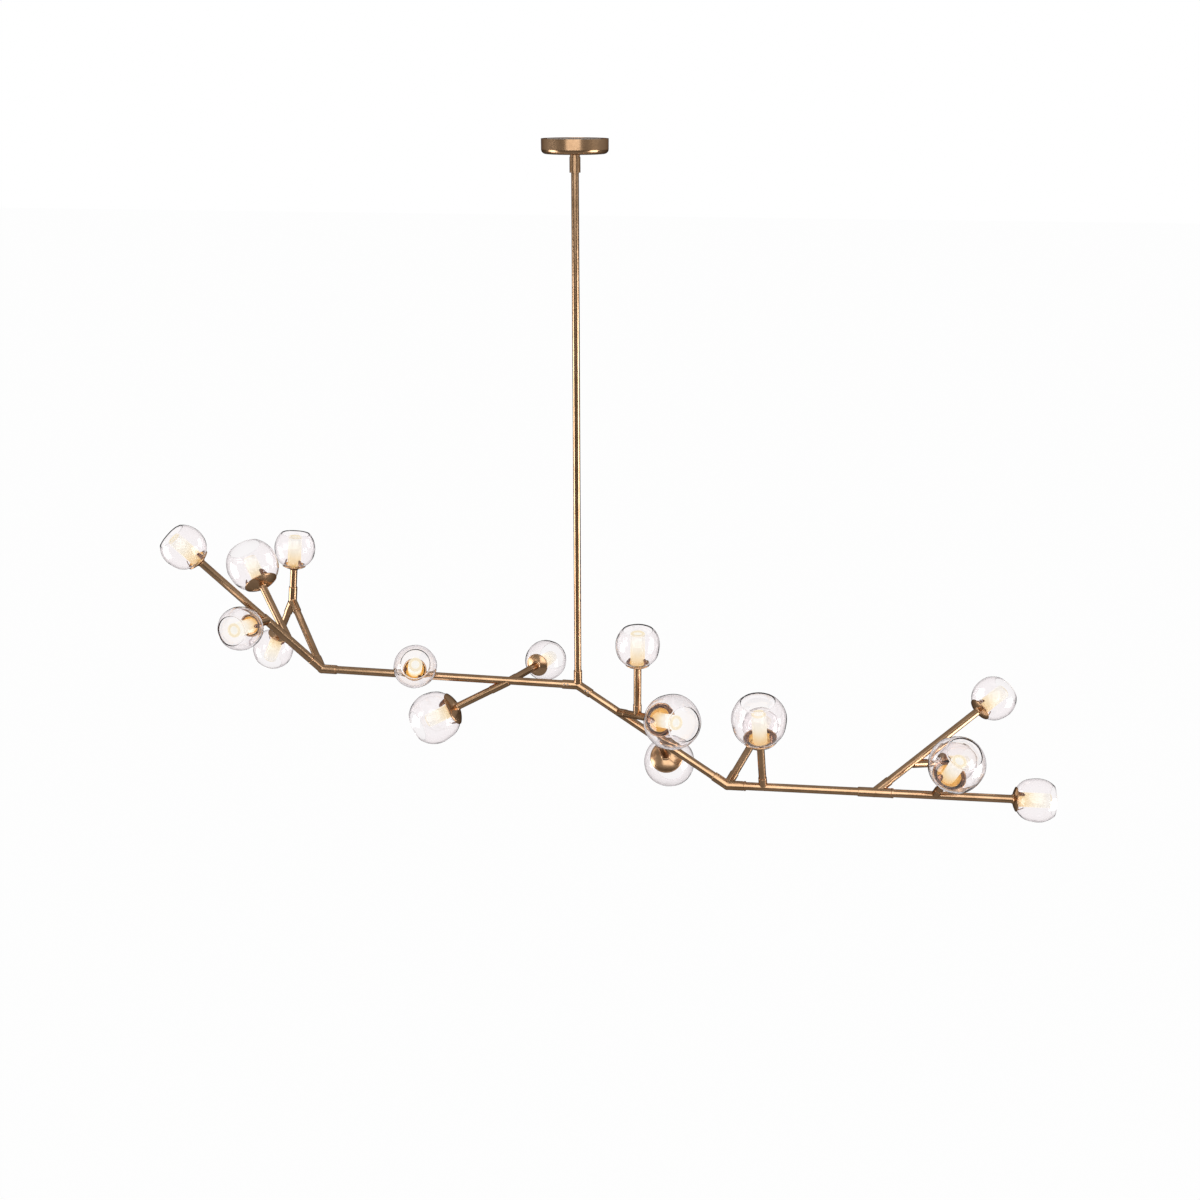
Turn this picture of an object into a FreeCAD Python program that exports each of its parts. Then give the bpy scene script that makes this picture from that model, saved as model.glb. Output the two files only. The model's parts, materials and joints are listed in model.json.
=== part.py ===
import FreeCAD, Part
import Sketcher
import math
import os
from FreeCAD import Placement, Rotation, Vector

# A hanging branch chandelier: a straight stem from a ceiling canopy carries a long bent
# trunk of tube. Arms leave the trunk at hubs, forks and sockets, and each arm ends in a
# dished cup that holds an open glass globe round a glowing lamp.
# Origin: middle of the ceiling face. +X runs along the trunk to its lower end, +Z is up.

doc = FreeCAD.newDocument("BranchChandelier")
sheet = doc.addObject("Spreadsheet::Sheet", "Sizes")

SIZES = [
    # Ceiling end.
    ("drop", 1050, "ceiling to the trunk's middle line at the centre hub"),
    ("canopy_r", 60, "canopy radius"),
    ("canopy_depth", 26, "canopy height"),
    ("canopy_wall", 1.5, "canopy sheet"),
    ("canopy_edge", 8, "rounding of the canopy's lower edge"),
    ("bar_length", 96, "crossbar length"),
    ("bar_width", 22, "crossbar width"),
    ("bar_thick", 2.5, "crossbar thickness"),
    ("bolt_spacing", 80, "distance between the two ceiling screw holes"),
    ("bolt_hole_r", 2.75, "ceiling screw hole radius"),
    ("stud_r", 5, "swivel stud shank radius"),
    ("stud_bore_r", 3.2, "cable way through the stud"),
    ("stud_head_r", 6.7, "swivel stud head radius"),
    ("stud_head_height", 4, "swivel stud head height"),
    ("nut_r", 9, "canopy nut radius"),
    ("nut_height", 5, "canopy nut height"),
    ("collar_top", 4, "thickness of the stem collar's top wall"),
    ("block_length", 20, "terminal block length"),
    ("block_width", 16, "terminal block width"),
    ("block_height", 14, "terminal block height"),
    ("block_from_middle", 12, "terminal block's near face from the stem's middle line"),
    # Tubes, sleeves and fits.
    ("stem_r", 7, "stem tube radius"),
    ("trunk_r", 8, "trunk tube radius"),
    ("limb_r", 7.5, "arm tube radius"),
    ("tube_wall", 1, "wall of every tube"),
    ("sleeve_wall", 1.4, "wall of every sleeve"),
    ("tube_fit", 0.05, "radial clearance of a tube in its sleeve"),
    ("end_gap", 0.3, "clearance past a tube's end and beside a turning ring"),
    ("hub_core", 14, "hub middle to the nearest tube end"),
    ("insert_depth", 18, "length of tube held in a sleeve"),
    ("socket_wall", 0.9, "wall of a branch socket"),
    ("socket_length", 14, "length of tube held in a branch socket"),
    ("cable_way_r", 4, "cable way inside hubs, cups and the coupling"),
    ("knuckle_extra", 0.25, "how far a hub's round knuckle stands proud of its sleeves"),
    ("ring_wall", 1.7, "wall of a turning ring"),
    ("ring_width", 4, "width of a turning ring"),
    ("screw_r", 1.5, "grub screw radius"),
    ("screw_socket_r", 0.8, "grub screw socket radius"),
    ("screw_sink", 0.3, "how far a grub screw lies below its sleeve"),
    ("screw_first", 20, "hub middle to the first grub screw"),
    ("screw_pitch", 7, "distance between the two grub screws of a sleeve"),
    ("screw_rise", 20, "angle of the grub screws above level"),
    # Stem and trunk.
    ("stem_joint_height", 815, "trunk's middle line to the joint in the stem"),
    ("joint_groove", 0.6, "open groove between the two stem tubes"),
    ("coupling_length", 30, "length of the coupling inside the stem joint"),
    ("left_run", 540, "centre hub to left hub"),
    ("middle_run", 360, "centre hub to lower hub"),
    ("middle_turn", -15, "turn of the middle run from +X"),
    ("middle_rise", -26, "rise of the middle run"),
    ("right_run", 286, "lower hub to right hub"),
    ("right_turn", 3, "turn of the right run from +X"),
    ("end_reach", 310, "right hub to the middle of the end globe"),
    ("carrier_run", 200, "left hub to the sprig fork"),
    ("carrier_turn", 128, "turn of the sprig carrier"),
    ("carrier_rise", 28, "rise of the sprig carrier"),
    ("fork_below", 65, "fork sleeve from its side outlet towards the left hub"),
    ("fork_above", 71, "fork sleeve from its side outlet towards globe 01"),
    # Two families of globe, each with its cup.
    ("small_globe_r", 45, "small globe radius"),
    ("small_mouth_r", 30, "small globe's open mouth radius"),
    ("small_hole_r", 21, "small globe's seat hole radius"),
    ("small_rim_r", 22.5, "small cup rim radius"),
    ("small_tab_width", 8, "small cup tab width"),
    ("small_tab_rise", 11, "small cup tab height above the rim"),
    ("large_globe_r", 55, "large globe radius"),
    ("large_mouth_r", 34, "large globe's open mouth radius"),
    ("large_hole_r", 31, "large globe's seat hole radius"),
    ("large_rim_r", 33, "large cup rim radius"),
    ("large_tab_width", 12, "large cup tab width"),
    ("large_tab_rise", 15, "large cup tab height above the rim"),
    ("glass_wall", 2.2, "glass thickness"),
    ("glass_gap", 0.3, "clearance between glass and brass"),
    ("cup_wall", 1.8, "cup wall"),
    ("cup_boss", 1.5, "height of the flat boss where the arm meets the cup"),
    ("tab_thick", 1, "tab thickness"),
    ("holder_r", 13, "lamp holder radius"),
    ("holder_height", 16, "lamp holder height"),
    ("lamp_r", 12, "lamp radius"),
    ("lamp_height", 52, "lamp height above the holder"),
    ("lamp_dome", 7, "rounding of the lamp's top"),
    ("lamp_neck_r", 7, "lamp neck radius"),
    ("lamp_neck", 8, "length of the lamp neck in the holder"),
]

# Every arm: its number, the run it leaves, how far along that run, its turn from +X and
# its rise in degrees, its reach to the middle of its globe, and the globe's family.
ARMS = [
    ("01", "hub_left", 0, -152, 49.5, 385, "small"),
    ("02", "arm_01", 98, 139, 43, 185, "large"),
    ("03", "fork_sprig", 0, 45, 83, 119, "small"),
    ("04", "arm_01", 158, -98, 11, 102, "small"),
    ("05", "fork_sprig", 0, 170, -64, 134, "small"),
    ("06", "trunk_left", 342, -71, 32, 100, "small"),
    ("07", "trunk_left", 140, -172, -28, 180, "large"),
    ("08", "trunk_left", 140, 74, -5, 160, "small"),
    ("09", "arm_10", 72, -90, 88, 152, "small"),
    ("10", "trunk_middle", 100, -50, 16, 200, "large"),
    ("11", "trunk_middle", 188, 86, -39, 220, "large"),
    ("12", "trunk_right", 70, -115, 79, 160, "large"),
    ("13", "hub_right", 0, 36, 26.6, 320, "small"),
    ("14", "trunk_end", 116, -67, 54.6, 125, "large"),
    ("16", "hub_lower", 0, 65, 27, 155, "small"),
    ("17", "arm_13", 95, 30, -8, 110, "small"),
]
for number, _, along, turn, rise, reach, family in ARMS:
    if along:
        SIZES.append((f"arm_{number}_along", along, f"where arm {number} leaves its run"))
    SIZES.append((f"arm_{number}_turn", turn, f"turn of arm {number} from +X"))
    SIZES.append((f"arm_{number}_rise", rise, f"rise of arm {number}"))
    SIZES.append((f"arm_{number}_reach", reach, f"reach of arm {number} to its globe's middle"))

for row, (alias, value, note) in enumerate(SIZES, start=1):
    sheet.set(f"A{row}", note)
    sheet.set(f"B{row}", str(value))
    sheet.setAlias(f"B{row}", alias)
doc.recompute()


def size(alias):
    """A driving size, read back from the sheet."""
    return float(getattr(sheet, alias))


# Two lengths that differ by less than this are taken as equal.
NEAR = 1e-4


# ---------------------------------------------------------------- directions and places

UP = Vector(0, 0, 1)
DOWN = Vector(0, 0, -1)
LEFT = Vector(-1, 0, 0)
HUB_CENTER = DOWN * size("drop")


def heading(turn, rise):
    """Unit vector turned from +X about +Z and raised from level, in degrees."""
    turn, rise = math.radians(turn), math.radians(rise)
    return Vector(math.cos(rise) * math.cos(turn), math.cos(rise) * math.sin(turn), math.sin(rise))


def place(point, axis):
    """Placement with its own +Z along axis."""
    return Placement(point, Rotation(UP, axis))


MIDDLE = heading(size("middle_turn"), size("middle_rise"))
RIGHT = heading(size("right_turn"), 0)
CARRIER = heading(size("carrier_turn"), size("carrier_rise"))
HUB_LEFT = HUB_CENTER + LEFT * size("left_run")
HUB_LOWER = HUB_CENTER + MIDDLE * size("middle_run")
HUB_RIGHT = HUB_LOWER + RIGHT * size("right_run")
FORK_SPRIG = HUB_LEFT + CARRIER * size("carrier_run")

# Each run: where it starts, its heading and the size that gives its radius.
RUNS = {
    "hub_left": (HUB_LEFT, LEFT, "trunk_r"),
    "hub_lower": (HUB_LOWER, RIGHT, "trunk_r"),
    "hub_right": (HUB_RIGHT, RIGHT, "trunk_r"),
    "fork_sprig": (FORK_SPRIG, CARRIER, "limb_r"),
    "trunk_left": (HUB_CENTER, LEFT, "trunk_r"),
    "trunk_middle": (HUB_CENTER, MIDDLE, "trunk_r"),
    "trunk_right": (HUB_LOWER, RIGHT, "trunk_r"),
    "trunk_end": (HUB_RIGHT, RIGHT, "trunk_r"),
}


def run_arm(number, run, along):
    """Adds an arm to the runs, once the run it leaves is known."""
    start, axis, _ = RUNS[run]
    distance = size(f"arm_{number}_along") if along else 0
    arm_axis = heading(size(f"arm_{number}_turn"), size(f"arm_{number}_rise"))
    RUNS[f"arm_{number}"] = (start + axis * distance, arm_axis, "limb_r")


waiting = [arm[:3] for arm in ARMS]
while waiting:
    for number, run, along in list(waiting):
        if run in RUNS:
            run_arm(number, run, along)
            waiting.remove((number, run, along))


def clear_start(angle, radius, own_radius):
    """How far along a tube must start to stay clear of another tube through its origin."""
    sine, cosine = math.sin(angle), abs(math.cos(angle))
    return (radius + size("end_gap") + own_radius * cosine) / sine


def outlet_start(axis, radius, others):
    """Start of a hub's tube, clear of the hub's earlier tubes at under a right angle to it."""
    starts = [size("hub_core")]
    for other_axis, other_radius in others:
        angle = axis.getAngle(other_axis)
        if angle < math.pi / 2:
            starts.append(clear_start(angle, other_radius, radius))
    return max(starts)


# ---------------------------------------------------------------- building blocks

def axis_plane(body, role):
    """One of a body's own origin planes."""
    return next(item for item in body.Origin.OriginFeatures if item.Role == role)


def add_sketch(body, name, role, offset=None):
    """Empty sketch on a body's origin plane, shifted along the plane's normal by a size."""
    sketch = body.newObject("Sketcher::SketchObject", name)
    sketch.AttachmentSupport = [(axis_plane(body, role), "")]
    sketch.MapMode = "FlatFace"
    if offset:
        sketch.setExpression("AttachmentOffset.Base.z", offset)
    return sketch


def add_circle(sketch, radius):
    """Circle about the sketch's origin with its radius bound to an expression."""
    circle = sketch.addGeometry(Part.Circle(Vector(0, 0, 0), UP, 1))
    sketch.addConstraint(Sketcher.Constraint("Coincident", circle, 3, -1, 1))
    bound = sketch.addConstraint(Sketcher.Constraint("Radius", circle, 1))
    sketch.setExpression(f"Constraints[{bound}]", radius)
    return circle


def bind_x(sketch, item, point, value, expression):
    """Distance of a point from the sketch's upright axis."""
    bound = sketch.addConstraint(Sketcher.Constraint("DistanceX", -1, 1, item, point, value))
    sketch.setExpression(f"Constraints[{bound}]", expression)


def bind_y(sketch, item, point, value, expression):
    """Signed height of a point in the sketch."""
    bound = sketch.addConstraint(Sketcher.Constraint("DistanceY", -1, 1, item, point, value))
    sketch.setExpression(f"Constraints[{bound}]", expression)


def add_polygon(sketch, corners):
    """Closed polygon whose corners are pairs of expressions, all bound to the sheet."""
    points = [Vector(evaluate(x), evaluate(y), 0) for x, y in corners]
    sides = []
    for start, end in zip(points, points[1:] + points[:1]):
        sides.append(sketch.addGeometry(Part.LineSegment(start, end)))
    for side, following in zip(sides, sides[1:] + sides[:1]):
        sketch.addConstraint(Sketcher.Constraint("Coincident", side, 2, following, 1))
    for side, point, (x, y) in zip(sides, points, corners):
        bind_x(sketch, side, 1, point.x, x)
        bind_y(sketch, side, 1, point.y, y)


def evaluate(expression):
    """Value of an expression of the sheet's sizes."""
    return float(sheet.evalExpression(expression))


def new_body(label):
    body = doc.addObject("PartDesign::Body", label)
    body.Label = label
    return body


def pad(body, sketch, length, reverse=False):
    feature = body.newObject("PartDesign::Pad", f"{body.Label}_pad")
    feature.Profile = sketch
    feature.setExpression("Length", length)
    feature.Reversed = reverse
    sketch.Visibility = False
    return feature


def revolve(body, sketch):
    feature = body.newObject("PartDesign::Revolution", f"{body.Label}_turned")
    feature.Profile = sketch
    feature.ReferenceAxis = (sketch, ["V_Axis"])
    feature.Angle = 360
    sketch.Visibility = False
    return feature


def round_circles(body, feature, radius, wanted):
    """Rounds a feature's circular edges that wanted(edge) picks."""
    doc.recompute()
    names = []
    for index, edge in enumerate(feature.Shape.Edges, start=1):
        if edge.Curve.TypeId == "Part::GeomCircle" and wanted(edge):
            names.append(f"Edge{index}")
    rounding = body.newObject("PartDesign::Fillet", f"{body.Label}_rounding")
    rounding.Base = (feature, names)
    rounding.setExpression("Radius", radius)
    return rounding


def tube(label, start, axis, radius, length, ways=()):
    """Straight round tube from start along axis, with a hole in its wall for each cable way."""
    body = new_body(f"{label}_blank" if ways else label)
    sketch = add_sketch(body, f"{label}_section", "XY_Plane")
    add_circle(sketch, f"Sizes.{radius}")
    add_circle(sketch, f"Sizes.{radius} - Sizes.tube_wall")
    pad(body, sketch, f"{length:.6f}")
    body.Placement = place(start, axis)
    if not ways:
        return body
    drills = []
    for index, (point, way_axis, reach) in enumerate(ways):
        drills.append(cylinder(f"{label}_drill_{index}", point, way_axis,
                               "Sizes.cable_way_r", reach))
    return cut(label, body, join(f"{label}_drills", drills))


def cylinder(name, start, axis, radius, height):
    """Solid cylinder with its radius bound to an expression."""
    solid = doc.addObject("Part::Cylinder", name)
    solid.setExpression("Radius", radius)
    solid.Height = height
    solid.Placement = place(start, axis)
    return solid


def join(name, solids):
    """Fusion of several solids, or the solid itself where there is only one."""
    if len(solids) == 1:
        return solids[0]
    fused = doc.addObject("Part::MultiFuse", name)
    fused.Shapes = solids
    return fused


def cut(label, base, tool):
    result = doc.addObject("Part::Cut", label)
    result.Base = base
    result.Tool = tool
    result.Label = label
    return result


def group(label, members):
    """Several separate solids of one kind, kept together."""
    compound = doc.addObject("Part::Compound", label)
    compound.Links = members
    compound.Label = label
    return compound


# ---------------------------------------------------------------- hubs, forks and sockets

BORE = "Sizes.{0} + Sizes.tube_fit"
SLEEVE = "Sizes.{0} + Sizes.tube_fit + Sizes.sleeve_wall"


# Where each arm's tube starts in its sleeve, and the cable ways through each run's wall.
ARM_START = {}
CABLE_WAYS = {}


def sleeve_length(start):
    return start + size("insert_depth")


def outlet(name, point, axis, radius, start, length):
    """Outer sleeve, tube seat and cable way of one outlet."""
    outer = cylinder(f"{name}_sleeve", point, axis, SLEEVE.format(radius), length)
    past_mouth = length - start + size("end_gap")
    seat = cylinder(f"{name}_seat", point + axis * start, axis, BORE.format(radius), past_mouth)
    way = cylinder(f"{name}_way", point, axis, "Sizes.cable_way_r", start + size("end_gap"))
    return outer, [seat, way]


def hub(label, point, outlets, extra_holes=()):
    """Knuckle with a sleeve for each (axis, radius) that leaves it. Returns starts too."""
    solids, holes, starts = [], list(extra_holes), []
    for index, (axis, radius) in enumerate(outlets):
        others = [(other, size(width)) for other, width in outlets[:index]]
        start = outlet_start(axis, size(radius), others)
        outer, cuts = outlet(f"{label}_{index}", point, axis, radius, start, sleeve_length(start))
        solids.append(outer)
        holes.extend(cuts)
        starts.append(start)
    knuckle = doc.addObject("Part::Sphere", f"{label}_knuckle")
    widest = max((radius for _, radius in outlets), key=size)
    knuckle.setExpression("Radius", f"{SLEEVE.format(widest)} + Sizes.knuckle_extra")
    knuckle.Placement = Placement(point, Rotation())
    solids.append(knuckle)
    return cut(label, join(f"{label}_solid", solids), join(f"{label}_holes", holes)), starts


def side_start(run, axis):
    """Start of an arm that leaves the wall of another tube."""
    _, run_axis, run_radius = RUNS[run]
    return clear_start(axis.getAngle(run_axis), size(run_radius), size("limb_r"))


def run_bore(name, run, low, high):
    """Bore for a run's tube, between two distances along the run."""
    start, axis, radius = RUNS[run]
    return cylinder(f"{name}_bore", start + axis * low, axis, BORE.format(radius), high - low)


def side_outlet(name, number, run, held, wall):
    """Sleeve of an arm that leaves a run's tube, from half the run's radius outwards."""
    point, axis, radius = RUNS[f"arm_{number}"]
    start = side_start(run, axis)
    foot = size(RUNS[run][2]) / 2
    length = start + size(held)
    outer = cylinder(f"{name}_sleeve", point + axis * foot, axis,
                     f"{BORE.format(radius)} + Sizes.{wall}", length - foot)
    past_mouth = size(held) + size("end_gap")
    seat = cylinder(f"{name}_seat", point + axis * start, axis, BORE.format(radius), past_mouth)
    way = cylinder(f"{name}_way", point, axis, "Sizes.cable_way_r", start + size("end_gap"))
    ARM_START[number] = start
    CABLE_WAYS.setdefault(run, []).append((point, axis, start))
    return outer, [seat, way], length


def socket(run, *numbers):
    """Short sockets brazed onto a run's tube where arms leave it, as one casting."""
    name = "socket_" + "_".join(numbers)
    solids, holes, lengths = [], [], []
    for number in numbers:
        outer, cuts, length = side_outlet(f"socket_{number}", number, run,
                                          "socket_length", "socket_wall")
        solids.append(outer)
        holes.extend(cuts)
        lengths.append(length)
    along = size(f"arm_{numbers[0]}_along")
    holes.append(run_bore(name, run, along - max(lengths), along + max(lengths)))
    return cut(name, join(f"{name}_sleeves", solids), join(f"{name}_holes", holes))


def screw_axis(axis):
    """Direction square to a sleeve that points to the front and a little up."""
    front = heading(-90, size("screw_rise"))
    square = front - axis * front.dot(axis)
    return square.normalize()


def grub_screws(name, axis):
    """The two grub screws of one sleeve of the centre hub, and their holes."""
    screws, holes = [], []
    outward = screw_axis(axis)
    inner = size("trunk_r") + size("tube_fit")
    length = size("sleeve_wall") - size("screw_sink")
    for index in range(2):
        distance = size("screw_first") + index * size("screw_pitch")
        foot = HUB_CENTER + axis * distance + outward * inner
        shank = cylinder(f"{name}_shank_{index}", foot, outward, "Sizes.screw_r", length)
        socket_foot = foot + outward * (length / 2)
        socket = cylinder(f"{name}_socket_{index}", socket_foot, outward,
                          "Sizes.screw_socket_r", length)
        screws.append(cut(f"{name}_{index}", shank, socket))
        deep = size("tube_wall")
        holes.append(cylinder(f"{name}_hole_{index}", foot - outward * deep, outward,
                              "Sizes.screw_r + Sizes.tube_fit", length + 3 * deep))
    return screws, holes


left_screws, left_holes = grub_screws("screw_left", LEFT)
right_screws, right_holes = grub_screws("screw_right", MIDDLE)
hub_grub_screws = group("hub_grub_screws", left_screws + right_screws)

hub_center, center_starts = hub(
    "hub_center", HUB_CENTER,
    [(LEFT, "trunk_r"), (MIDDLE, "trunk_r"), (UP, "stem_r")],
    left_holes + right_holes)

ARM_01 = RUNS["arm_01"][1]
hub_left, left_starts = hub(
    "hub_left", HUB_LEFT,
    [(LEFT * -1, "trunk_r"), (ARM_01, "limb_r"), (CARRIER, "limb_r")])
ARM_START["01"] = left_starts[1]

hub_lower, lower_starts = hub(
    "hub_lower", HUB_LOWER,
    [(MIDDLE * -1, "trunk_r"), (RIGHT, "trunk_r"), (RUNS["arm_16"][1], "limb_r")])
ARM_START["16"] = lower_starts[2]

hub_right, right_starts = hub(
    "hub_right", HUB_RIGHT,
    [(RIGHT * -1, "trunk_r"), (RIGHT, "trunk_r"), (RUNS["arm_13"][1], "limb_r")])
ARM_START["13"] = right_starts[2]

fork_sprig, sprig_starts = hub(
    "fork_sprig", FORK_SPRIG,
    [(CARRIER * -1, "limb_r"), (RUNS["arm_03"][1], "limb_r"), (RUNS["arm_05"][1], "limb_r")])
ARM_START["03"] = sprig_starts[1]
ARM_START["05"] = sprig_starts[2]


def left_fork():
    """Long sleeve round arm 01 that carries the outlets of arms 02 and 04."""
    middle = size("arm_02_along")
    low, high = middle - size("fork_below"), middle + size("fork_above")
    start, axis, radius = RUNS["arm_01"]
    solids = [cylinder("fork_left_grip", start + axis * low, axis, SLEEVE.format(radius),
                       high - low)]
    holes = []
    reach = 0
    for number in ("02", "04"):
        outer, cuts, length = side_outlet(f"fork_left_{number}", number, "arm_01",
                                          "insert_depth", "sleeve_wall")
        solids.append(outer)
        holes.extend(cuts)
        reach = max(reach, length)
    holes.append(run_bore("fork_left", "arm_01", low - reach, high + reach))
    return cut("fork_left", join("fork_left_solid", solids), join("fork_left_holes", holes))


fork_left = left_fork()

sockets_left = group("branch_sockets_left", [
    socket("trunk_left", "06"), socket("trunk_left", "07", "08")])
sockets_middle = group("branch_sockets_middle", [
    socket("trunk_middle", "10"), socket("trunk_middle", "11"), socket("arm_10", "09")])
sockets_right = group("branch_sockets_right", [
    socket("trunk_right", "12"), socket("arm_13", "17")])
socket_end = group("branch_socket_end", [socket("trunk_end", "14")])


# ---------------------------------------------------------------- lamp heads
# Every head is made about its globe's middle, with +Z out of the globe's mouth.

def seat_radius(family):
    """Radius of the cup's inner face."""
    return f"(Sizes.{family}_globe_r + Sizes.glass_gap)"


def drop_at(sphere, radius):
    """Depth below the globe's middle at which a sphere has a radius."""
    return f"sqrt({sphere} * {sphere} - ({radius}) * ({radius}))"


def arm_face(family):
    """Depth of the cup's flat face that the arm meets."""
    return f"{seat_radius(family)} + Sizes.cup_wall + Sizes.cup_boss"


def add_arc(sketch, radius, low, high):
    """Arc about the sketch's origin between two depths, all given as expressions.
    low and high are (x, z) pairs at its ends."""
    start = Vector(evaluate(low[0]), evaluate(low[1]), 0)
    end = Vector(evaluate(high[0]), evaluate(high[1]), 0)
    circle = Part.Circle(Vector(0, 0, 0), UP, evaluate(radius))
    arc = sketch.addGeometry(Part.ArcOfCircle(
        circle, math.atan2(start.y, start.x), math.atan2(end.y, end.x)))
    sketch.addConstraint(Sketcher.Constraint("Coincident", arc, 3, -1, 1))
    bound = sketch.addConstraint(Sketcher.Constraint("Radius", arc, evaluate(radius)))
    sketch.setExpression(f"Constraints[{bound}]", radius)
    bind_x(sketch, arc, 1, start.x, low[0])
    bind_x(sketch, arc, 2, end.x, high[0])
    return arc, start, end


def add_line(sketch, start, end):
    return sketch.addGeometry(Part.LineSegment(start, end))


def weld(sketch, *joints):
    """Makes pairs of (item, point) ends meet."""
    for first, first_end, second, second_end in joints:
        sketch.addConstraint(
            Sketcher.Constraint("Coincident", first, first_end, second, second_end))


def globe(label, family, placement):
    """Blown glass ball with a seat hole below and an open mouth above."""
    body = new_body(label)
    sketch = add_sketch(body, f"{label}_section", "XZ_Plane")
    outer_r = f"Sizes.{family}_globe_r"
    inner_r = f"({outer_r} - Sizes.glass_wall)"
    hole, mouth = f"Sizes.{family}_hole_r", f"Sizes.{family}_mouth_r"
    arcs = []
    for radius in (outer_r, inner_r):
        low = (hole, f"-{drop_at(radius, hole)}")
        high = (mouth, drop_at(radius, mouth))
        arcs.append(add_arc(sketch, radius, low, high))
    (outer, outer_low, outer_high), (inner, inner_low, inner_high) = arcs
    below = add_line(sketch, outer_low, inner_low)
    above = add_line(sketch, outer_high, inner_high)
    weld(sketch, (below, 1, outer, 1), (below, 2, inner, 1),
         (above, 1, outer, 2), (above, 2, inner, 2))
    revolve(body, sketch)
    body.Placement = placement
    return body


def cup(label, family, placement):
    """Dished cup: a shell under the globe, a flat boss for the arm and three upright tabs."""
    body = new_body(label)
    sketch = add_sketch(body, f"{label}_section", "XZ_Plane")
    inner_r = seat_radius(family)
    outer_r = f"({inner_r} + Sizes.cup_wall)"
    rim = f"Sizes.{family}_rim_r"
    boss = SLEEVE.format("limb_r")
    face = f"-({arm_face(family)})"
    floor = f"-{drop_at(inner_r, 'Sizes.holder_r')}"
    shell, shell_low, shell_high = add_arc(
        sketch, outer_r, (boss, f"-{drop_at(outer_r, boss)}"), (rim, f"-{drop_at(outer_r, rim)}"))
    dish, dish_low, dish_high = add_arc(
        sketch, inner_r, ("Sizes.holder_r", floor), (rim, f"-{drop_at(inner_r, rim)}"))
    corners = [("Sizes.cable_way_r", floor), ("Sizes.cable_way_r", face), (boss, face)]
    points = [Vector(evaluate(x), evaluate(z), 0) for x, z in corners]
    seat_line = add_line(sketch, dish_low, points[0])
    way_line = add_line(sketch, points[0], points[1])
    face_line = add_line(sketch, points[1], points[2])
    boss_line = add_line(sketch, points[2], shell_low)
    rim_line = add_line(sketch, shell_high, dish_high)
    weld(sketch, (seat_line, 1, dish, 1), (seat_line, 2, way_line, 1),
         (way_line, 2, face_line, 1), (face_line, 2, boss_line, 1),
         (boss_line, 2, shell, 1), (rim_line, 1, shell, 2), (rim_line, 2, dish, 2))
    for line in (seat_line, face_line):
        sketch.addConstraint(Sketcher.Constraint("Horizontal", line))
    for line in (way_line, boss_line):
        sketch.addConstraint(Sketcher.Constraint("Vertical", line))
    bind_x(sketch, face_line, 1, points[1].x, "Sizes.cable_way_r")
    bind_y(sketch, face_line, 1, points[1].y, face)
    revolve(body, sketch)
    tabs(body, label, family, inner_r, rim)
    body.Placement = placement
    return body


def tabs(body, label, family, inner_r, rim):
    """Three round-topped tabs that stand inside the glass and hold its edge."""
    hole = f"Sizes.{family}_hole_r"
    outside = f"({hole} - Sizes.glass_gap)"
    half = f"(Sizes.{family}_tab_width / 2)"
    flat = f"sqrt({outside} * {outside} - {half} * {half}) - Sizes.tab_thick"
    sketch = add_sketch(body, f"{label}_tab", "YZ_Plane", flat)
    top = f"(Sizes.{family}_tab_rise - {drop_at(inner_r, rim)})"
    foot = f"(-{drop_at(inner_r, outside)} - Sizes.cup_wall / 2)"
    shoulder = f"({top} - {half})"
    half_value = evaluate(half)
    low, high = evaluate(foot), evaluate(shoulder)
    left = add_line(sketch, Vector(-half_value, high, 0), Vector(-half_value, low, 0))
    base = add_line(sketch, Vector(-half_value, low, 0), Vector(half_value, low, 0))
    right = add_line(sketch, Vector(half_value, low, 0), Vector(half_value, high, 0))
    crown = sketch.addGeometry(Part.ArcOfCircle(
        Part.Circle(Vector(0, high, 0), UP, half_value), 0, math.pi))
    weld(sketch, (left, 2, base, 1), (base, 2, right, 1), (right, 2, crown, 1),
         (crown, 2, left, 1))
    sketch.addConstraint(Sketcher.Constraint("Vertical", left))
    sketch.addConstraint(Sketcher.Constraint("Vertical", right))
    sketch.addConstraint(Sketcher.Constraint("Horizontal", base))
    sketch.addConstraint(Sketcher.Constraint("PointOnObject", crown, 3, -2))
    bind_x(sketch, right, 1, half_value, half)
    bind_y(sketch, right, 1, low, foot)
    bind_y(sketch, right, 2, high, shoulder)
    bind_y(sketch, crown, 3, high, shoulder)
    tab = pad(body, sketch, "Sizes.tab_thick")
    pattern = body.newObject("PartDesign::PolarPattern", f"{label}_tabs")
    pattern.Originals = [tab]
    pattern.Axis = (axis_plane(body, "Z_Axis"), [""])
    pattern.Angle = 360
    pattern.Occurrences = 3
    body.Tip = pattern


def holder(label, family, placement):
    """Round lamp holder on the cup's floor, with a seat for the lamp's neck."""
    body = new_body(label)
    sketch = add_sketch(body, f"{label}_section", "XZ_Plane")
    top = "Sizes.holder_height"
    seat = "(Sizes.holder_height - Sizes.lamp_neck)"
    neck = "(Sizes.lamp_neck_r + Sizes.tube_fit)"
    way = "Sizes.cable_way_r"
    add_polygon(sketch, [(way, "0"), ("Sizes.holder_r", "0"), ("Sizes.holder_r", top),
                         (neck, top), (neck, seat), (way, seat)])
    revolve(body, sketch)
    floor = evaluate(drop_at(seat_radius(family), "Sizes.holder_r"))
    body.Placement = placement.multiply(Placement(DOWN * floor, Rotation()))
    return body


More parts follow.
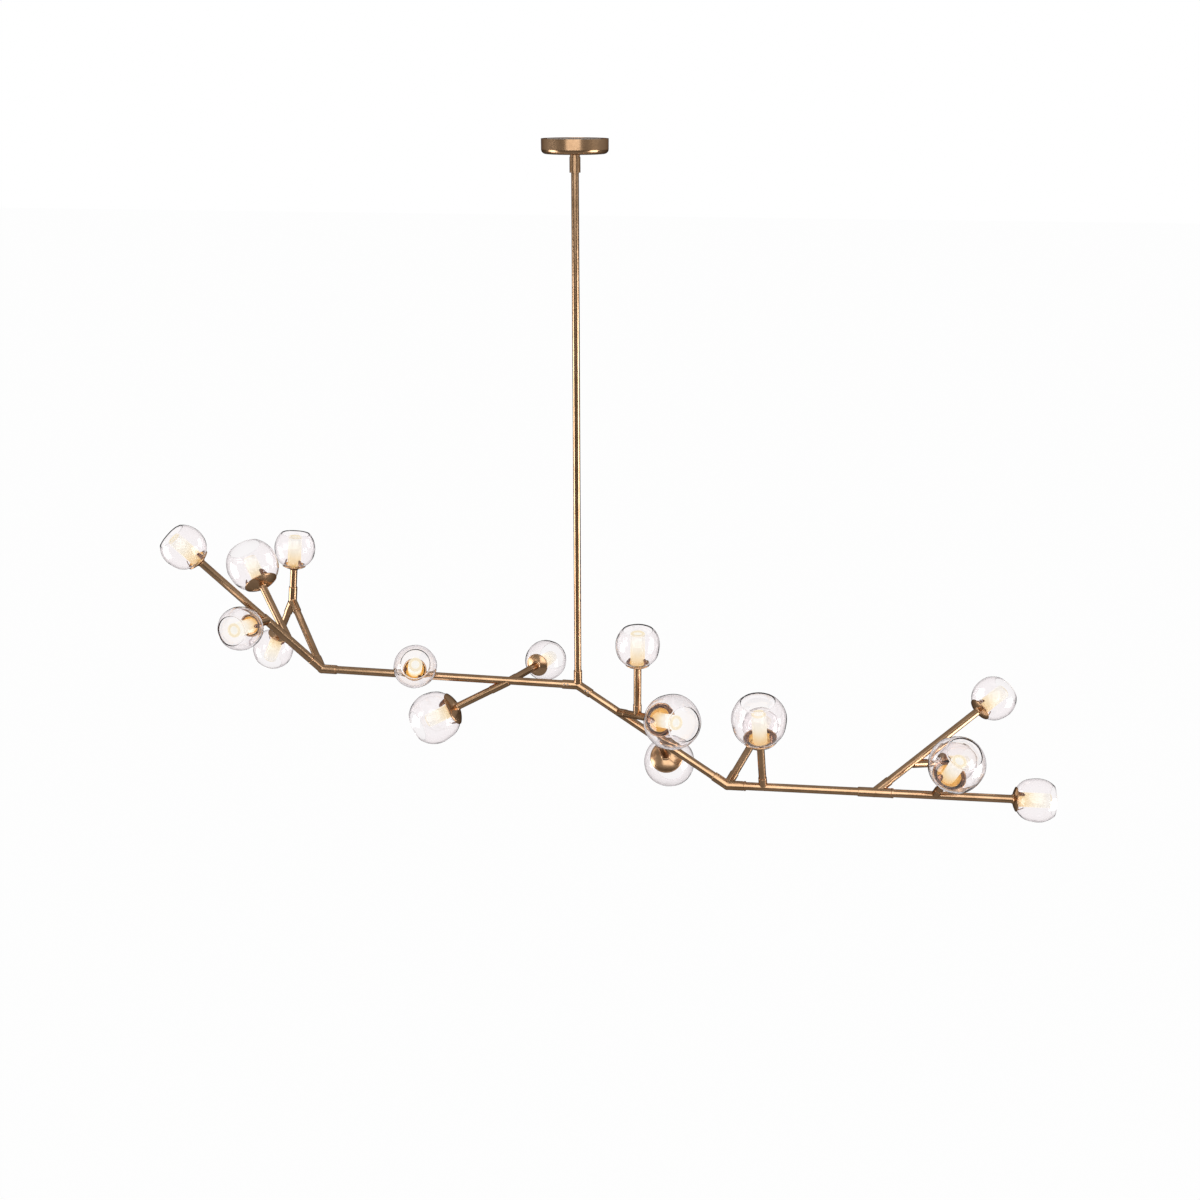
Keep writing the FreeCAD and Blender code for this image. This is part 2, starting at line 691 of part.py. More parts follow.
def lamp(label, family, placement):
    """Frosted lamp: a domed column on a neck that plugs into the holder."""
    body = new_body(label)
    sketch = add_sketch(body, f"{label}_section", "XZ_Plane")
    neck = "Sizes.lamp_neck_r"
    add_polygon(sketch, [("0", "-Sizes.lamp_neck"), (neck, "-Sizes.lamp_neck"), (neck, "0"),
                         ("Sizes.lamp_r", "0"), ("Sizes.lamp_r", "Sizes.lamp_height"),
                         ("0", "Sizes.lamp_height")])
    turned = revolve(body, sketch)
    height = size("lamp_height")
    round_circles(body, turned, "Sizes.lamp_dome",
                  lambda edge: abs(edge.Curve.Center.z - height) < NEAR)
    floor = evaluate(drop_at(seat_radius(family), "Sizes.holder_r"))
    seat = Placement(DOWN * (floor - size("holder_height")), Rotation())
    body.Placement = placement.multiply(seat)
    return body


def arm_tube(number, reach, family):
    """Tube of an arm, from its sleeve to its cup."""
    point, axis, _ = RUNS[f"arm_{number}"]
    start = ARM_START[number] + size("end_gap")
    length = reach - evaluate(arm_face(family)) - start
    return tube(f"arm_{number}", point + axis * start, axis, "limb_r", length,
                CABLE_WAYS.get(f"arm_{number}", ()))


LIMBS = {
    "left": ["01", "02", "03", "04", "05", "06", "07", "08"],
    "middle": ["09", "10", "11", "16"],
    "right": ["12", "13", "17"],
    "end": ["14", "15"],
}
FAMILY = {number: family for number, *_, family in ARMS}
FAMILY["15"] = "small"
RUNS["arm_15"] = RUNS["trunk_end"]
SUBPARTS = []


def limb(name, numbers):
    """Globes, cups, holders, lamps and arm tubes of one limb."""
    cups, holders, lamps, arms = [], [], [], []
    for number in numbers:
        family = FAMILY[number]
        point, axis, _ = RUNS[f"arm_{number}"]
        reach = size("end_reach") if number == "15" else size(f"arm_{number}_reach")
        head = place(point + axis * reach, axis)
        SUBPARTS.append(globe(f"globe_{number}", family, head))
        cups.append(cup(f"cup_{number}", family, head))
        holders.append(holder(f"holder_{number}", family, head))
        lamps.append(lamp(f"lamp_{number}", family, head))
        if number != "15":
            arms.append(arm_tube(number, reach, family))
    if name == "left":
        arms.append(carrier_tube())
    SUBPARTS.append(group(f"cups_{name}", cups))
    SUBPARTS.append(group(f"lamp_holders_{name}", holders))
    SUBPARTS.append(group(f"lamps_{name}", lamps))
    SUBPARTS.append(group(f"arms_{name}", arms))


def carrier_tube():
    """Tube that carries the sprig fork."""
    start = left_starts[2] + size("end_gap")
    end = size("carrier_run") - sprig_starts[0] - size("end_gap")
    return tube("arm_carrier", HUB_LEFT + CARRIER * start, CARRIER, "limb_r", end - start)


for limb_name, limb_numbers in LIMBS.items():
    limb(limb_name, limb_numbers)


# ---------------------------------------------------------------- trunk tubes and rings

def trunk_tube(label, run, start, length):
    """Trunk tube between the seats at start and at start + length along a run."""
    point, axis, _ = RUNS[run]
    gap = size("end_gap")
    return tube(label, point + axis * (start + gap), axis, "trunk_r", length - 2 * gap,
                CABLE_WAYS.get(run, ()))


trunk_left = trunk_tube("trunk_left", "trunk_left", center_starts[0],
                        size("left_run") - center_starts[0] - left_starts[0])
trunk_middle = trunk_tube("trunk_middle", "trunk_middle", center_starts[1],
                          size("middle_run") - center_starts[1] - lower_starts[0])
trunk_right = trunk_tube("trunk_right", "trunk_right", lower_starts[1],
                         size("right_run") - lower_starts[1] - right_starts[0])
end_start = right_starts[1] + size("end_gap")
trunk_end = tube("trunk_end", HUB_RIGHT + RIGHT * end_start, RIGHT, "trunk_r",
                 size("end_reach") - evaluate(arm_face("small")) - end_start,
                 CABLE_WAYS["trunk_end"])


def turning_ring(label, point, start):
    """Ring on a tube, just outside the sleeve that the tube turns in."""
    mouth = sleeve_length(start) + size("end_gap")
    body = new_body(label)
    sketch = add_sketch(body, f"{label}_section", "XY_Plane")
    add_circle(sketch, f"{BORE.format('trunk_r')} + Sizes.ring_wall")
    add_circle(sketch, BORE.format("trunk_r"))
    pad(body, sketch, "Sizes.ring_width")
    body.Placement = place(point + RIGHT * mouth, RIGHT)
    return body


turning_ring_lower = turning_ring("turning_ring_lower", HUB_LOWER, lower_starts[1])
turning_ring_end = turning_ring("turning_ring_end", HUB_RIGHT, right_starts[1])


# ---------------------------------------------------------------- stem

# Depths below the ceiling.
COLLAR_FACE = "(Sizes.canopy_depth + Sizes.nut_height + Sizes.end_gap)"
HEAD_FACE = f"({COLLAR_FACE} + Sizes.collar_top + Sizes.end_gap)"
STEM_TOP = f"({HEAD_FACE} + Sizes.stud_head_height + Sizes.end_gap)"
STEM_JOINT = "(Sizes.drop - Sizes.stem_joint_height)"


def turned(label, corners):
    """Body turned about the stem's middle line from a section of (radius, height) pairs."""
    body = new_body(label)
    sketch = add_sketch(body, f"{label}_section", "XZ_Plane")
    add_polygon(sketch, corners)
    revolve(body, sketch)
    return body


def stem_tube(label, top, bottom):
    return tube(label, DOWN * top, DOWN, "stem_r", bottom - top)


stem_top, stem_joint = evaluate(STEM_TOP), evaluate(STEM_JOINT)
half_groove = size("joint_groove") / 2
stem_upper = stem_tube("stem_upper", stem_top, stem_joint - half_groove)
stem_lower = stem_tube("stem_lower", stem_joint + half_groove,
                       size("drop") - center_starts[2] - size("end_gap"))

coupling_r = "Sizes.stem_r - Sizes.tube_wall - Sizes.tube_fit"
coupling_half = "Sizes.coupling_length / 2"
stem_coupling = turned("stem_coupling", [
    ("Sizes.cable_way_r", f"-{coupling_half}"), (coupling_r, f"-{coupling_half}"),
    (coupling_r, coupling_half), ("Sizes.cable_way_r", coupling_half)])
stem_coupling.Placement = place(DOWN * stem_joint, UP)

collar_bore = BORE.format("stem_r")
collar_outer = SLEEVE.format("stem_r") + " + Sizes.sleeve_wall"
collar_hole = "Sizes.stud_r + Sizes.tube_fit"
collar_bottom = f"-({STEM_TOP} - {COLLAR_FACE} + Sizes.insert_depth)"
stem_collar = turned("stem_collar", [
    (collar_hole, "0"), (collar_outer, "0"), (collar_outer, collar_bottom),
    (collar_bore, collar_bottom), (collar_bore, "-Sizes.collar_top"),
    (collar_hole, "-Sizes.collar_top")])
stem_collar.Placement = place(DOWN * evaluate(COLLAR_FACE), UP)


# ---------------------------------------------------------------- ceiling end

head_top = f"-{HEAD_FACE}"
head_bottom = f"-({HEAD_FACE} + Sizes.stud_head_height)"
swivel_stud = turned("swivel_stud", [
    ("Sizes.stud_bore_r", "0"), ("Sizes.stud_r", "0"), ("Sizes.stud_r", head_top),
    ("Sizes.stud_head_r", head_top), ("Sizes.stud_head_r", head_bottom),
    ("Sizes.stud_bore_r", head_bottom)])

stud_hole = "Sizes.stud_r + Sizes.tube_fit"
plate_top = "-(Sizes.canopy_depth - Sizes.canopy_wall)"
canopy = turned("canopy", [
    (stud_hole, "-Sizes.canopy_depth"), ("Sizes.canopy_r", "-Sizes.canopy_depth"),
    ("Sizes.canopy_r", "0"), ("Sizes.canopy_r - Sizes.canopy_wall", "0"),
    ("Sizes.canopy_r - Sizes.canopy_wall", plate_top), (stud_hole, plate_top)])
round_circles(canopy, canopy.Tip, "Sizes.canopy_edge",
              lambda edge: abs(edge.Curve.Radius - size("canopy_r")) < NEAR
              and edge.Curve.Center.z < -size("canopy_wall"))
inside_r = size("canopy_r") - size("canopy_wall")
round_circles(canopy, canopy.Tip, "Sizes.canopy_edge - Sizes.canopy_wall",
              lambda edge: abs(edge.Curve.Radius - inside_r) < NEAR
              and edge.Curve.Center.z < -size("canopy_wall"))

canopy_nut = turned("canopy_nut", [
    (stud_hole, "-Sizes.canopy_depth - Sizes.nut_height"),
    ("Sizes.nut_r", "-Sizes.canopy_depth - Sizes.nut_height"),
    ("Sizes.nut_r", "-Sizes.canopy_depth"), (stud_hole, "-Sizes.canopy_depth")])


def crossbar_body():
    """Flat ceiling bar with a hole for the stud and two for the ceiling screws."""
    body = new_body("crossbar")
    sketch = add_sketch(body, "crossbar_outline", "XY_Plane")
    far_x, far_y = "Sizes.bar_length / 2", "Sizes.bar_width / 2"
    add_polygon(sketch, [(f"-{far_x}", f"-{far_y}"), (far_x, f"-{far_y}"),
                         (far_x, far_y), (f"-{far_x}", far_y)])
    add_circle(sketch, stud_hole)
    for side in (-1, 1):
        hole = sketch.addGeometry(Part.Circle(
            Vector(side * size("bolt_spacing") / 2, 0, 0), UP, size("bolt_hole_r")))
        sketch.addConstraint(Sketcher.Constraint("PointOnObject", hole, 3, -1))
        bind_x(sketch, hole, 3, side * size("bolt_spacing") / 2,
               f"{side} * Sizes.bolt_spacing / 2")
        bound = sketch.addConstraint(Sketcher.Constraint("Radius", hole, size("bolt_hole_r")))
        sketch.setExpression(f"Constraints[{bound}]", "Sizes.bolt_hole_r")
    pad(body, sketch, "Sizes.bar_thick", reverse=True)
    return body


crossbar = crossbar_body()


def terminal_body():
    """Terminal block under the crossbar."""
    body = new_body("terminal_block")
    sketch = add_sketch(body, "terminal_block_outline", "XY_Plane")
    near, far = "Sizes.block_from_middle", "Sizes.block_from_middle + Sizes.block_length"
    side = "Sizes.block_width / 2"
    add_polygon(sketch, [(near, f"-{side}"), (far, f"-{side}"), (far, side), (near, side)])
    pad(body, sketch, "Sizes.block_height", reverse=True)
    body.Placement = Placement(DOWN * size("bar_thick"), Rotation())
    return body


terminal_block = terminal_body()

SUBPARTS += [
    canopy, crossbar, swivel_stud, canopy_nut, terminal_block,
    stem_collar, stem_upper, stem_coupling, stem_lower, hub_center, hub_grub_screws,
    trunk_left, hub_left, fork_left, fork_sprig, sockets_left,
    trunk_middle, hub_lower, sockets_middle,
    turning_ring_lower, trunk_right, hub_right, sockets_right,
    turning_ring_end, trunk_end, socket_end,
]


# ---------------------------------------------------------------- checks and files

doc.recompute()
for item in doc.Objects:
    bad = [state for state in item.State if state in ("Invalid", "Error")]
    if bad:
        raise RuntimeError(f"{item.Label}: {bad}")
for part in SUBPARTS:
    if part.Shape.isNull() or not part.Shape.isValid():
        raise RuntimeError(f"{part.Label}: empty or broken shape")

os.makedirs("parts", exist_ok=True)
for part in SUBPARTS:
    part.Shape.exportStep(f"parts/{part.Label}.step")
print(f"{len(SUBPARTS)} sub-parts written")
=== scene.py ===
"""Dresses the branch chandelier: blown glass globes, glowing lamps, dished brass cups,
cast forks and brass tubes, on a pale studio floor."""

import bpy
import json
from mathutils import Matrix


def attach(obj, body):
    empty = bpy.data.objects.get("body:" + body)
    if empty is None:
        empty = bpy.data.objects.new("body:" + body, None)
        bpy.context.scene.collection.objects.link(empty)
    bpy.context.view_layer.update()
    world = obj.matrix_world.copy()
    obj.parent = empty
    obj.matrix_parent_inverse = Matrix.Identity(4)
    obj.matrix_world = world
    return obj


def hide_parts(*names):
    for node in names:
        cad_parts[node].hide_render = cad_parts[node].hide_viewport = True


bl_info = {
    "name": "Branch Chandelier",
    "version": (1, 0, 0),
    "blender": (4, 5, 0),
    "location": "View3D > Sidebar > Chandelier",
    "description": "Dresses a hanging branch chandelier with glass, lamps and brass",
    "category": "Object",
}

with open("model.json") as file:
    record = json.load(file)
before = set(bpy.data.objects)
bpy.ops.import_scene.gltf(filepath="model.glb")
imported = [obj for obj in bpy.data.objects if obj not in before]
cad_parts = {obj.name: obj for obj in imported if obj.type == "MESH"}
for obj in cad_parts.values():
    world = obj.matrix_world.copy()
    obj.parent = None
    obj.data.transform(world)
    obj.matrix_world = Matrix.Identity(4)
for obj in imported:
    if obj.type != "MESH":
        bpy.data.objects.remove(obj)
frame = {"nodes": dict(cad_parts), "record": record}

import json
import math

import bmesh
import bpy
from bpy.props import FloatProperty, FloatVectorProperty, IntProperty, PointerProperty
from mathutils import Vector

# ------------------------------------------------------------------ layout of the frame

DROP = 1.050
LEFT_RUN = 0.540
MIDDLE_RUN = 0.360
RIGHT_RUN = 0.286
CARRIER_RUN = 0.200
END_REACH = 0.310


def heading(turn, rise):
    """Unit vector turned from +X about +Z and raised from level, in degrees."""
    turn, rise = math.radians(turn), math.radians(rise)
    return Vector((math.cos(rise) * math.cos(turn), math.cos(rise) * math.sin(turn),
                   math.sin(rise)))


LEFT = Vector((-1, 0, 0))
MIDDLE = heading(-15, -26)
RIGHT = heading(3, 0)
CARRIER = heading(128, 28)
HUB_CENTER = Vector((0, 0, -DROP))
HUB_LEFT = HUB_CENTER + LEFT * LEFT_RUN
HUB_LOWER = HUB_CENTER + MIDDLE * MIDDLE_RUN
HUB_RIGHT = HUB_LOWER + RIGHT * RIGHT_RUN
FORK_SPRIG = HUB_LEFT + CARRIER * CARRIER_RUN

RUNS = {
    "hub_left": (HUB_LEFT, LEFT),
    "hub_lower": (HUB_LOWER, RIGHT),
    "hub_right": (HUB_RIGHT, RIGHT),
    "fork_sprig": (FORK_SPRIG, CARRIER),
    "trunk_left": (HUB_CENTER, LEFT),
    "trunk_middle": (HUB_CENTER, MIDDLE),
    "trunk_right": (HUB_LOWER, RIGHT),
    "trunk_end": (HUB_RIGHT, RIGHT),
}

# Where the odd clip of a head stands, as the photograph shows it: behind, unless named here.
BEHIND = Vector((0, 1, 0))
CLIP_SIDES = {"10": Vector((-1, 0, 0)), "14": Vector((-1, 0, -1))}

# Every arm: number, the run it leaves, how far along it (m), turn and rise in degrees,
# reach to the middle of its globe (m), the globe's family and the body it rides on.
ARMS = [
    ("01", "hub_left", 0, -152, 49.5, 0.385, "small", "left_limb"),
    ("02", "arm_01", 0.098, 139, 43, 0.185, "large", "left_limb"),
    ("03", "fork_sprig", 0, 45, 83, 0.119, "small", "left_limb"),
    ("04", "arm_01", 0.158, -98, 11, 0.102, "small", "left_limb"),
    ("05", "fork_sprig", 0, 170, -64, 0.134, "small", "left_limb"),
    ("06", "trunk_left", 0.342, -71, 32, 0.100, "small", "left_limb"),
    ("07", "trunk_left", 0.140, -172, -28, 0.180, "large", "left_limb"),
    ("08", "trunk_left", 0.140, 74, -5, 0.160, "small", "left_limb"),
    ("10", "trunk_middle", 0.100, -50, 16, 0.200, "large", "middle_limb"),
    ("09", "arm_10", 0.072, -90, 88, 0.152, "small", "middle_limb"),
    ("11", "trunk_middle", 0.188, 86, -39, 0.220, "large", "middle_limb"),
    ("16", "hub_lower", 0, 65, 27, 0.155, "small", "middle_limb"),
    ("12", "trunk_right", 0.070, -115, 79, 0.160, "large", "right_limb"),
    ("13", "hub_right", 0, 36, 26.6, 0.320, "small", "right_limb"),
    ("17", "arm_13", 0.095, 30, -8, 0.110, "small", "right_limb"),
    ("14", "trunk_end", 0.116, -67, 54.6, 0.125, "large", "end_limb"),
]


class Head:
    """One lamp head: the middle of its globe, and its axis out of the globe's mouth."""

    def __init__(self, number, centre, axis, family, body):
        self.number = number
        self.centre = centre
        self.axis = axis
        self.family = family
        self.body = body


def find_heads():
    heads = []
    for number, run, along, turn, rise, reach, family, body in ARMS:
        start, run_axis = RUNS[run]
        axis = heading(turn, rise)
        RUNS[f"arm_{number}"] = (start + run_axis * along, axis)
        heads.append(Head(number, start + run_axis * along + axis * reach, axis, family, body))
    heads.append(Head("15", HUB_RIGHT + RIGHT * END_REACH, RIGHT, "small", "end_limb"))
    return heads


HEADS = find_heads()
LIMBS = {"left_limb": "left", "middle_limb": "middle", "right_limb": "right",
         "end_limb": "end"}

# Sizes in metres, of the two families of head and of what both have alike.
FAMILIES = {
    "small": {"globe": 0.045, "mouth": 0.030, "hole": 0.021, "rim": 0.0225, "clip": 0.0095,
              "clip_rise": 0.0145, "bowl": 0.0188},
    "large": {"globe": 0.055, "mouth": 0.034, "hole": 0.031, "rim": 0.033, "clip": 0.015,
              "clip_rise": 0.0195, "bowl": 0.0240},
}
GLASS_WALL = 0.0022
GLASS_GAP = 0.0003
MOUTH_SWELL = 1.12
HOLDER_R = 0.013
HOLDER_HEIGHT = 0.016
LAMP_R = 0.014
LAMP_HEIGHT = 0.052
LAMP_WALL = 0.0008
LAMP_WELL_R = 0.008
LAMP_WELL_DEPTH = 0.007
LAMP_FOOT_GAP = 0.0005
LAMP_FOOT_EASE = 0.0003
CUP_WALL = 0.0018
CUP_BOSS = 0.0015
CUP_BEAD = 0.0012
BOSS_R = 0.00895
CABLE_WAY_R = 0.004
CLIP_THICK = 0.0012
CLIP_LEAN = 0.22
CLIP_TAPER = 0.3
CLIP_ANGLES = (0, 120, 240)
BOWL_LIP = 0.0045
BOWL_WALL = 0.0009
EASE = 0.0004

# Facets round each turned piece.
GLOBE_FACETS = 96
CUP_FACETS = 72
LAMP_FACETS = 48

# The lumps in the glass grow from nothing to full between these parts of its height.
LUMPS_FROM = 0.10
LUMPS_FULL = 0.45

# Skin size (m) and smoothing rounds of the small castings and of the large ones.
FINE_SKIN = (0.0004, 24)
COARSE_SKIN = (0.0006, 9)


def floor_depth(family):
    """How far the cup's floor lies below the middle of the globe."""
    seat = FAMILIES[family]["globe"] + GLASS_GAP
    return math.sqrt(seat ** 2 - HOLDER_R ** 2)


# ------------------------------------------------------------------ settings

class ChandelierSettings(bpy.types.PropertyGroup):
    """Colours and finishes a user would change."""
    brass_light: FloatVectorProperty(
        name="Brass, light", description="Brass where it is freshly rubbed", subtype="COLOR",
        default=(0.80, 0.50, 0.285))
    brass_dark: FloatVectorProperty(
        name="Brass, dark", description="Brass where it has darkened", subtype="COLOR",
        default=(0.64, 0.385, 0.205))
    brass_edge: FloatVectorProperty(
        name="Brass edge", description="Tint of the brass at grazing angles", subtype="COLOR",
        default=(0.24, 0.13, 0.07))
    # Painted lamplight: bright gold where the lamp's glow falls in the bowl round each lamp.
    bowl_lamplight: FloatVectorProperty(
        name="Brass, inside", description="Bright gold of the cups' insides", subtype="COLOR",
        default=(0.98, 0.68, 0.24))
    # Dark brown of the clips; the same brown is painted as shade on each cup's seat for the
    # glass.
    brass_clip: FloatVectorProperty(
        name="Brass, clips", description="Brown of the clips that hold the glass",
        subtype="COLOR", default=(0.18, 0.078, 0.034))
    glass_tint: FloatVectorProperty(
        name="Glass tint", description="Tint that the glass takes on with thickness",
        subtype="COLOR", default=(0.86, 0.44, 0.50))
    glass_edge: FloatVectorProperty(
        name="Glass edge", description="Grey of the glass where it is seen edge on",
        subtype="COLOR", default=(0.36, 0.30, 0.32))
    glass_density: FloatProperty(
        name="Glass density", description="How strongly the glass is tinted, per metre",
        default=19.0, min=0.0)
    lump_height: FloatProperty(
        name="Lumps", description="How far the blown glass sinks between its high spots",
        subtype="DISTANCE", unit="LENGTH", default=0.0042, min=0.0)
    lump_size: FloatProperty(
        name="Lump scale", description="Number of lumps per metre", default=20.0, min=0.0)
    seed: IntProperty(
        name="Seed", description="Picks another set of lumps", default=7)
    lamp_glow: FloatProperty(
        name="Lamp glow", description="Strength of the lamps' light", default=0.88, min=0.0)


# ------------------------------------------------------------------ finishes

def new_material(name):
    """Empty node material with an output node."""
    material = bpy.data.materials.new(name)
    material.use_nodes = True
    nodes = material.node_tree.nodes
    nodes.clear()
    return material, nodes, material.node_tree.links


def add_node(nodes, kind, **values):
    """Adds a node, and sets its properties or its sockets by name."""
    node = nodes.new(kind)
    for key, value in values.items():
        if hasattr(node, key):
            setattr(node, key, value)
        else:
            node.inputs[key.replace("_", " ")].default_value = value
    return node


def ramp(nodes, *stops):
    """Colour ramp with the given (position, colour) stops."""
    node = nodes.new("ShaderNodeValToRGB")
    elements = node.color_ramp.elements
    while len(elements) < len(stops):
        elements.new(0.5)
    for element, (position, color) in zip(elements, stops):
        element.position = position
        element.color = (*color, 1) if len(color) == 3 else color
    return node


def named_value(nodes, name):
    """Value socket of one of the mesh's own attributes."""
    return add_node(nodes, "ShaderNodeAttribute", attribute_name=name).outputs["Fac"]


def mixed_color(nodes, links, factor, under, over):
    """Colour that goes from a socket's to a fixed one by a factor."""
    mix = add_node(nodes, "ShaderNodeMix", data_type="RGBA")
    colors = [socket for socket in mix.inputs if socket.type == "RGBA"]
    colors[1].default_value = (*over, 1)
    links.new(factor, mix.inputs["Factor"])
    links.new(under, colors[0])
    return next(socket for socket in mix.outputs if socket.type == "RGBA")


def brass_finish(name="satin_brass", with_painted_light=False):
    """Rubbed satin brass: darker clouds, fine grain and small pits. One with painted light
    takes painted lamplight, bright gold and less metallic, on the bowl round each lamp, and
    dark brown where the piece's attributes say so: painted shade on each cup's seat, and the
    clips."""
    found = bpy.data.materials.get(name)
    if found:
        return found
    settings = bpy.context.scene.chandelier
    material, nodes, links = new_material(name)
    output = nodes.new("ShaderNodeOutputMaterial")
    shader = add_node(nodes, "ShaderNodeBsdfPrincipled", Metallic=1.0, Coat_Weight=0.5,
                      Coat_Roughness=0.16)
    shader.inputs["Specular Tint"].default_value = (*settings.brass_edge, 1)
    place = nodes.new("ShaderNodeTexCoord")
    clouds = add_node(nodes, "ShaderNodeTexNoise", Scale=22.0, Detail=4.0, Roughness=0.55)
    grain = add_node(nodes, "ShaderNodeTexNoise", Scale=260.0, Detail=3.0, Roughness=0.6)
    color = ramp(nodes, (0.36, settings.brass_dark), (0.58, settings.brass_light))
    gloss = add_node(nodes, "ShaderNodeMapRange", interpolation_type="SMOOTHSTEP")
    gloss.inputs["To Min"].default_value = 0.17
    gloss.inputs["To Max"].default_value = 0.27
    bump = add_node(nodes, "ShaderNodeBump", Strength=0.06, Distance=0.0004)
    links.new(place.outputs["Object"], clouds.inputs["Vector"])
    links.new(place.outputs["Object"], grain.inputs["Vector"])
    links.new(clouds.outputs["Fac"], color.inputs["Fac"])
    links.new(grain.outputs["Fac"], gloss.inputs["Value"])
    links.new(gloss.outputs["Result"], shader.inputs["Roughness"])
    links.new(grain.outputs["Fac"], bump.inputs["Height"])
    links.new(bump.outputs["Normal"], shader.inputs["Normal"])
    links.new(shader.outputs["BSDF"], output.inputs["Surface"])
    if not with_painted_light:
        links.new(color.outputs["Color"], shader.inputs["Base Color"])
        return material
    # Painted lamplight: the bowl round each lamp turns bright gold and less metallic. Painted
    # shade: each cup's seat for the glass turns dark brown, as do the clips.
    golden, brown = named_value(nodes, "golden"), named_value(nodes, "brown")
    bowl_less_metal = add_node(nodes, "ShaderNodeMapRange")
    bowl_less_metal.inputs["To Min"].default_value = 1.0
    bowl_less_metal.inputs["To Max"].default_value = 0.45
    links.new(golden, bowl_less_metal.inputs["Value"])
    links.new(bowl_less_metal.outputs["Result"], shader.inputs["Metallic"])
    lamplit = mixed_color(nodes, links, golden, color.outputs["Color"], settings.bowl_lamplight)
    tinted = mixed_color(nodes, links, brown, lamplit, settings.brass_clip)
    links.new(tinted, shader.inputs["Base Color"])
    return material


def glass_finish():
    """Clear blown glass with a rosy tint that gathers where it is thick, a grey outline and
    soft cords left by blowing."""
    found = bpy.data.materials.get("blown_glass")
    if found:
        return found
    settings = bpy.context.scene.chandelier
    material, nodes, links = new_material("blown_glass")
    output = nodes.new("ShaderNodeOutputMaterial")
    shader = add_node(nodes, "ShaderNodeBsdfPrincipled", Roughness=0.0, IOR=1.45)
    shader.inputs["Transmission Weight"].default_value = 1.0
    grazing = add_node(nodes, "ShaderNodeLayerWeight", Blend=0.5)
    outline = ramp(nodes, (0.64, (0.99, 0.985, 0.987)), (1.0, settings.glass_edge))
    links.new(grazing.outputs["Facing"], outline.inputs["Fac"])
    links.new(outline.outputs["Color"], shader.inputs["Base Color"])
    absorb = add_node(nodes, "ShaderNodeVolumeAbsorption", Density=settings.glass_density)
    absorb.inputs["Color"].default_value = (*settings.glass_tint, 1)
    place = nodes.new("ShaderNodeTexCoord")
    cords = add_node(nodes, "ShaderNodeTexNoise", Scale=24.0, Detail=0.6, Distortion=1.0)
    bump = add_node(nodes, "ShaderNodeBump", Strength=0.34, Distance=0.0018)
    links.new(place.outputs["Object"], cords.inputs["Vector"])
    links.new(cords.outputs["Fac"], bump.inputs["Height"])
    links.new(bump.outputs["Normal"], shader.inputs["Normal"])
    links.new(shader.outputs["BSDF"], output.inputs["Surface"])
    links.new(absorb.outputs["Volume"], output.inputs["Volume"])
    return material


def lamp_finish():
    """Frosted lamp that glows gold at its foot and on its rim, and cream elsewhere."""
    found = bpy.data.materials.get("lamp_glow")
    if found:
        return found
    settings = bpy.context.scene.chandelier
    material, nodes, links = new_material("lamp_glow")
    output = nodes.new("ShaderNodeOutputMaterial")
    shader = add_node(nodes, "ShaderNodeBsdfPrincipled", Roughness=0.45)
    shader.inputs["Base Color"].default_value = (0.16, 0.15, 0.13, 1)
    shader.inputs["Emission Strength"].default_value = settings.lamp_glow
    color = ramp(nodes, (0.0, (0.88, 0.56, 0.22)), (0.28, (0.93, 0.73, 0.43)),
                 (0.55, (0.92, 0.85, 0.69)), (0.9, (0.89, 0.87, 0.82)))
    glow = mixed_color(nodes, links, named_value(nodes, "golden"), color.outputs["Color"],
                       (0.90, 0.78, 0.57))
    links.new(named_value(nodes, "height"), color.inputs["Fac"])
    links.new(glow, shader.inputs["Emission Color"])
    links.new(shader.outputs["BSDF"], output.inputs["Surface"])
    return material


def clouded_finish(name, texture, value, low, high, metallic):
    """Matt finish whose colour goes between two stops by a texture's value."""
    found = bpy.data.materials.get(name)
    if found:
        return found
    material, nodes, links = new_material(name)
    output = nodes.new("ShaderNodeOutputMaterial")
    shader = add_node(nodes, "ShaderNodeBsdfPrincipled", Metallic=metallic, Roughness=0.4)
    place = nodes.new("ShaderNodeTexCoord")
    clouds = add_node(nodes, **texture)
    color = ramp(nodes, low, high)
    links.new(place.outputs["Object"], clouds.inputs["Vector"])
    links.new(clouds.outputs[value], color.inputs["Fac"])
    links.new(color.outputs["Color"], shader.inputs["Base Color"])
    links.new(shader.outputs["BSDF"], output.inputs["Surface"])
    return material


def ceramic_finish():
    """Cream ceramic of the lamp holders, a little cloudy."""
    return clouded_finish("ceramic_cream",
                          {"kind": "ShaderNodeTexNoise", "Scale": 120.0, "Detail": 2.0}, "Fac",
                          (0.3, (0.78, 0.68, 0.50)), (0.7, (0.86, 0.78, 0.62)), 0.0)


def steel_finish():
    """Zinc-plated steel of the crossbar and the grub screws, with faint crystal clouds."""
    return clouded_finish("plated_steel",
                          {"kind": "ShaderNodeTexVoronoi", "Scale": 260.0}, "Distance",
                          (0.0, (0.36, 0.34, 0.31)), (1.0, (0.48, 0.46, 0.43)), 1.0)


# ------------------------------------------------------------------ mesh helpers

def link_mesh(name, mesh):
    thing = bpy.data.objects.new(name, mesh)
    bpy.context.scene.collection.objects.link(thing)
    return thing


def finished_mesh(name, work):
    """Mesh from a bmesh with every face smooth."""
    for face in work.faces:
        face.smooth = True
    mesh = bpy.data.meshes.new(name)
    work.to_mesh(mesh)
    work.free()
    return mesh


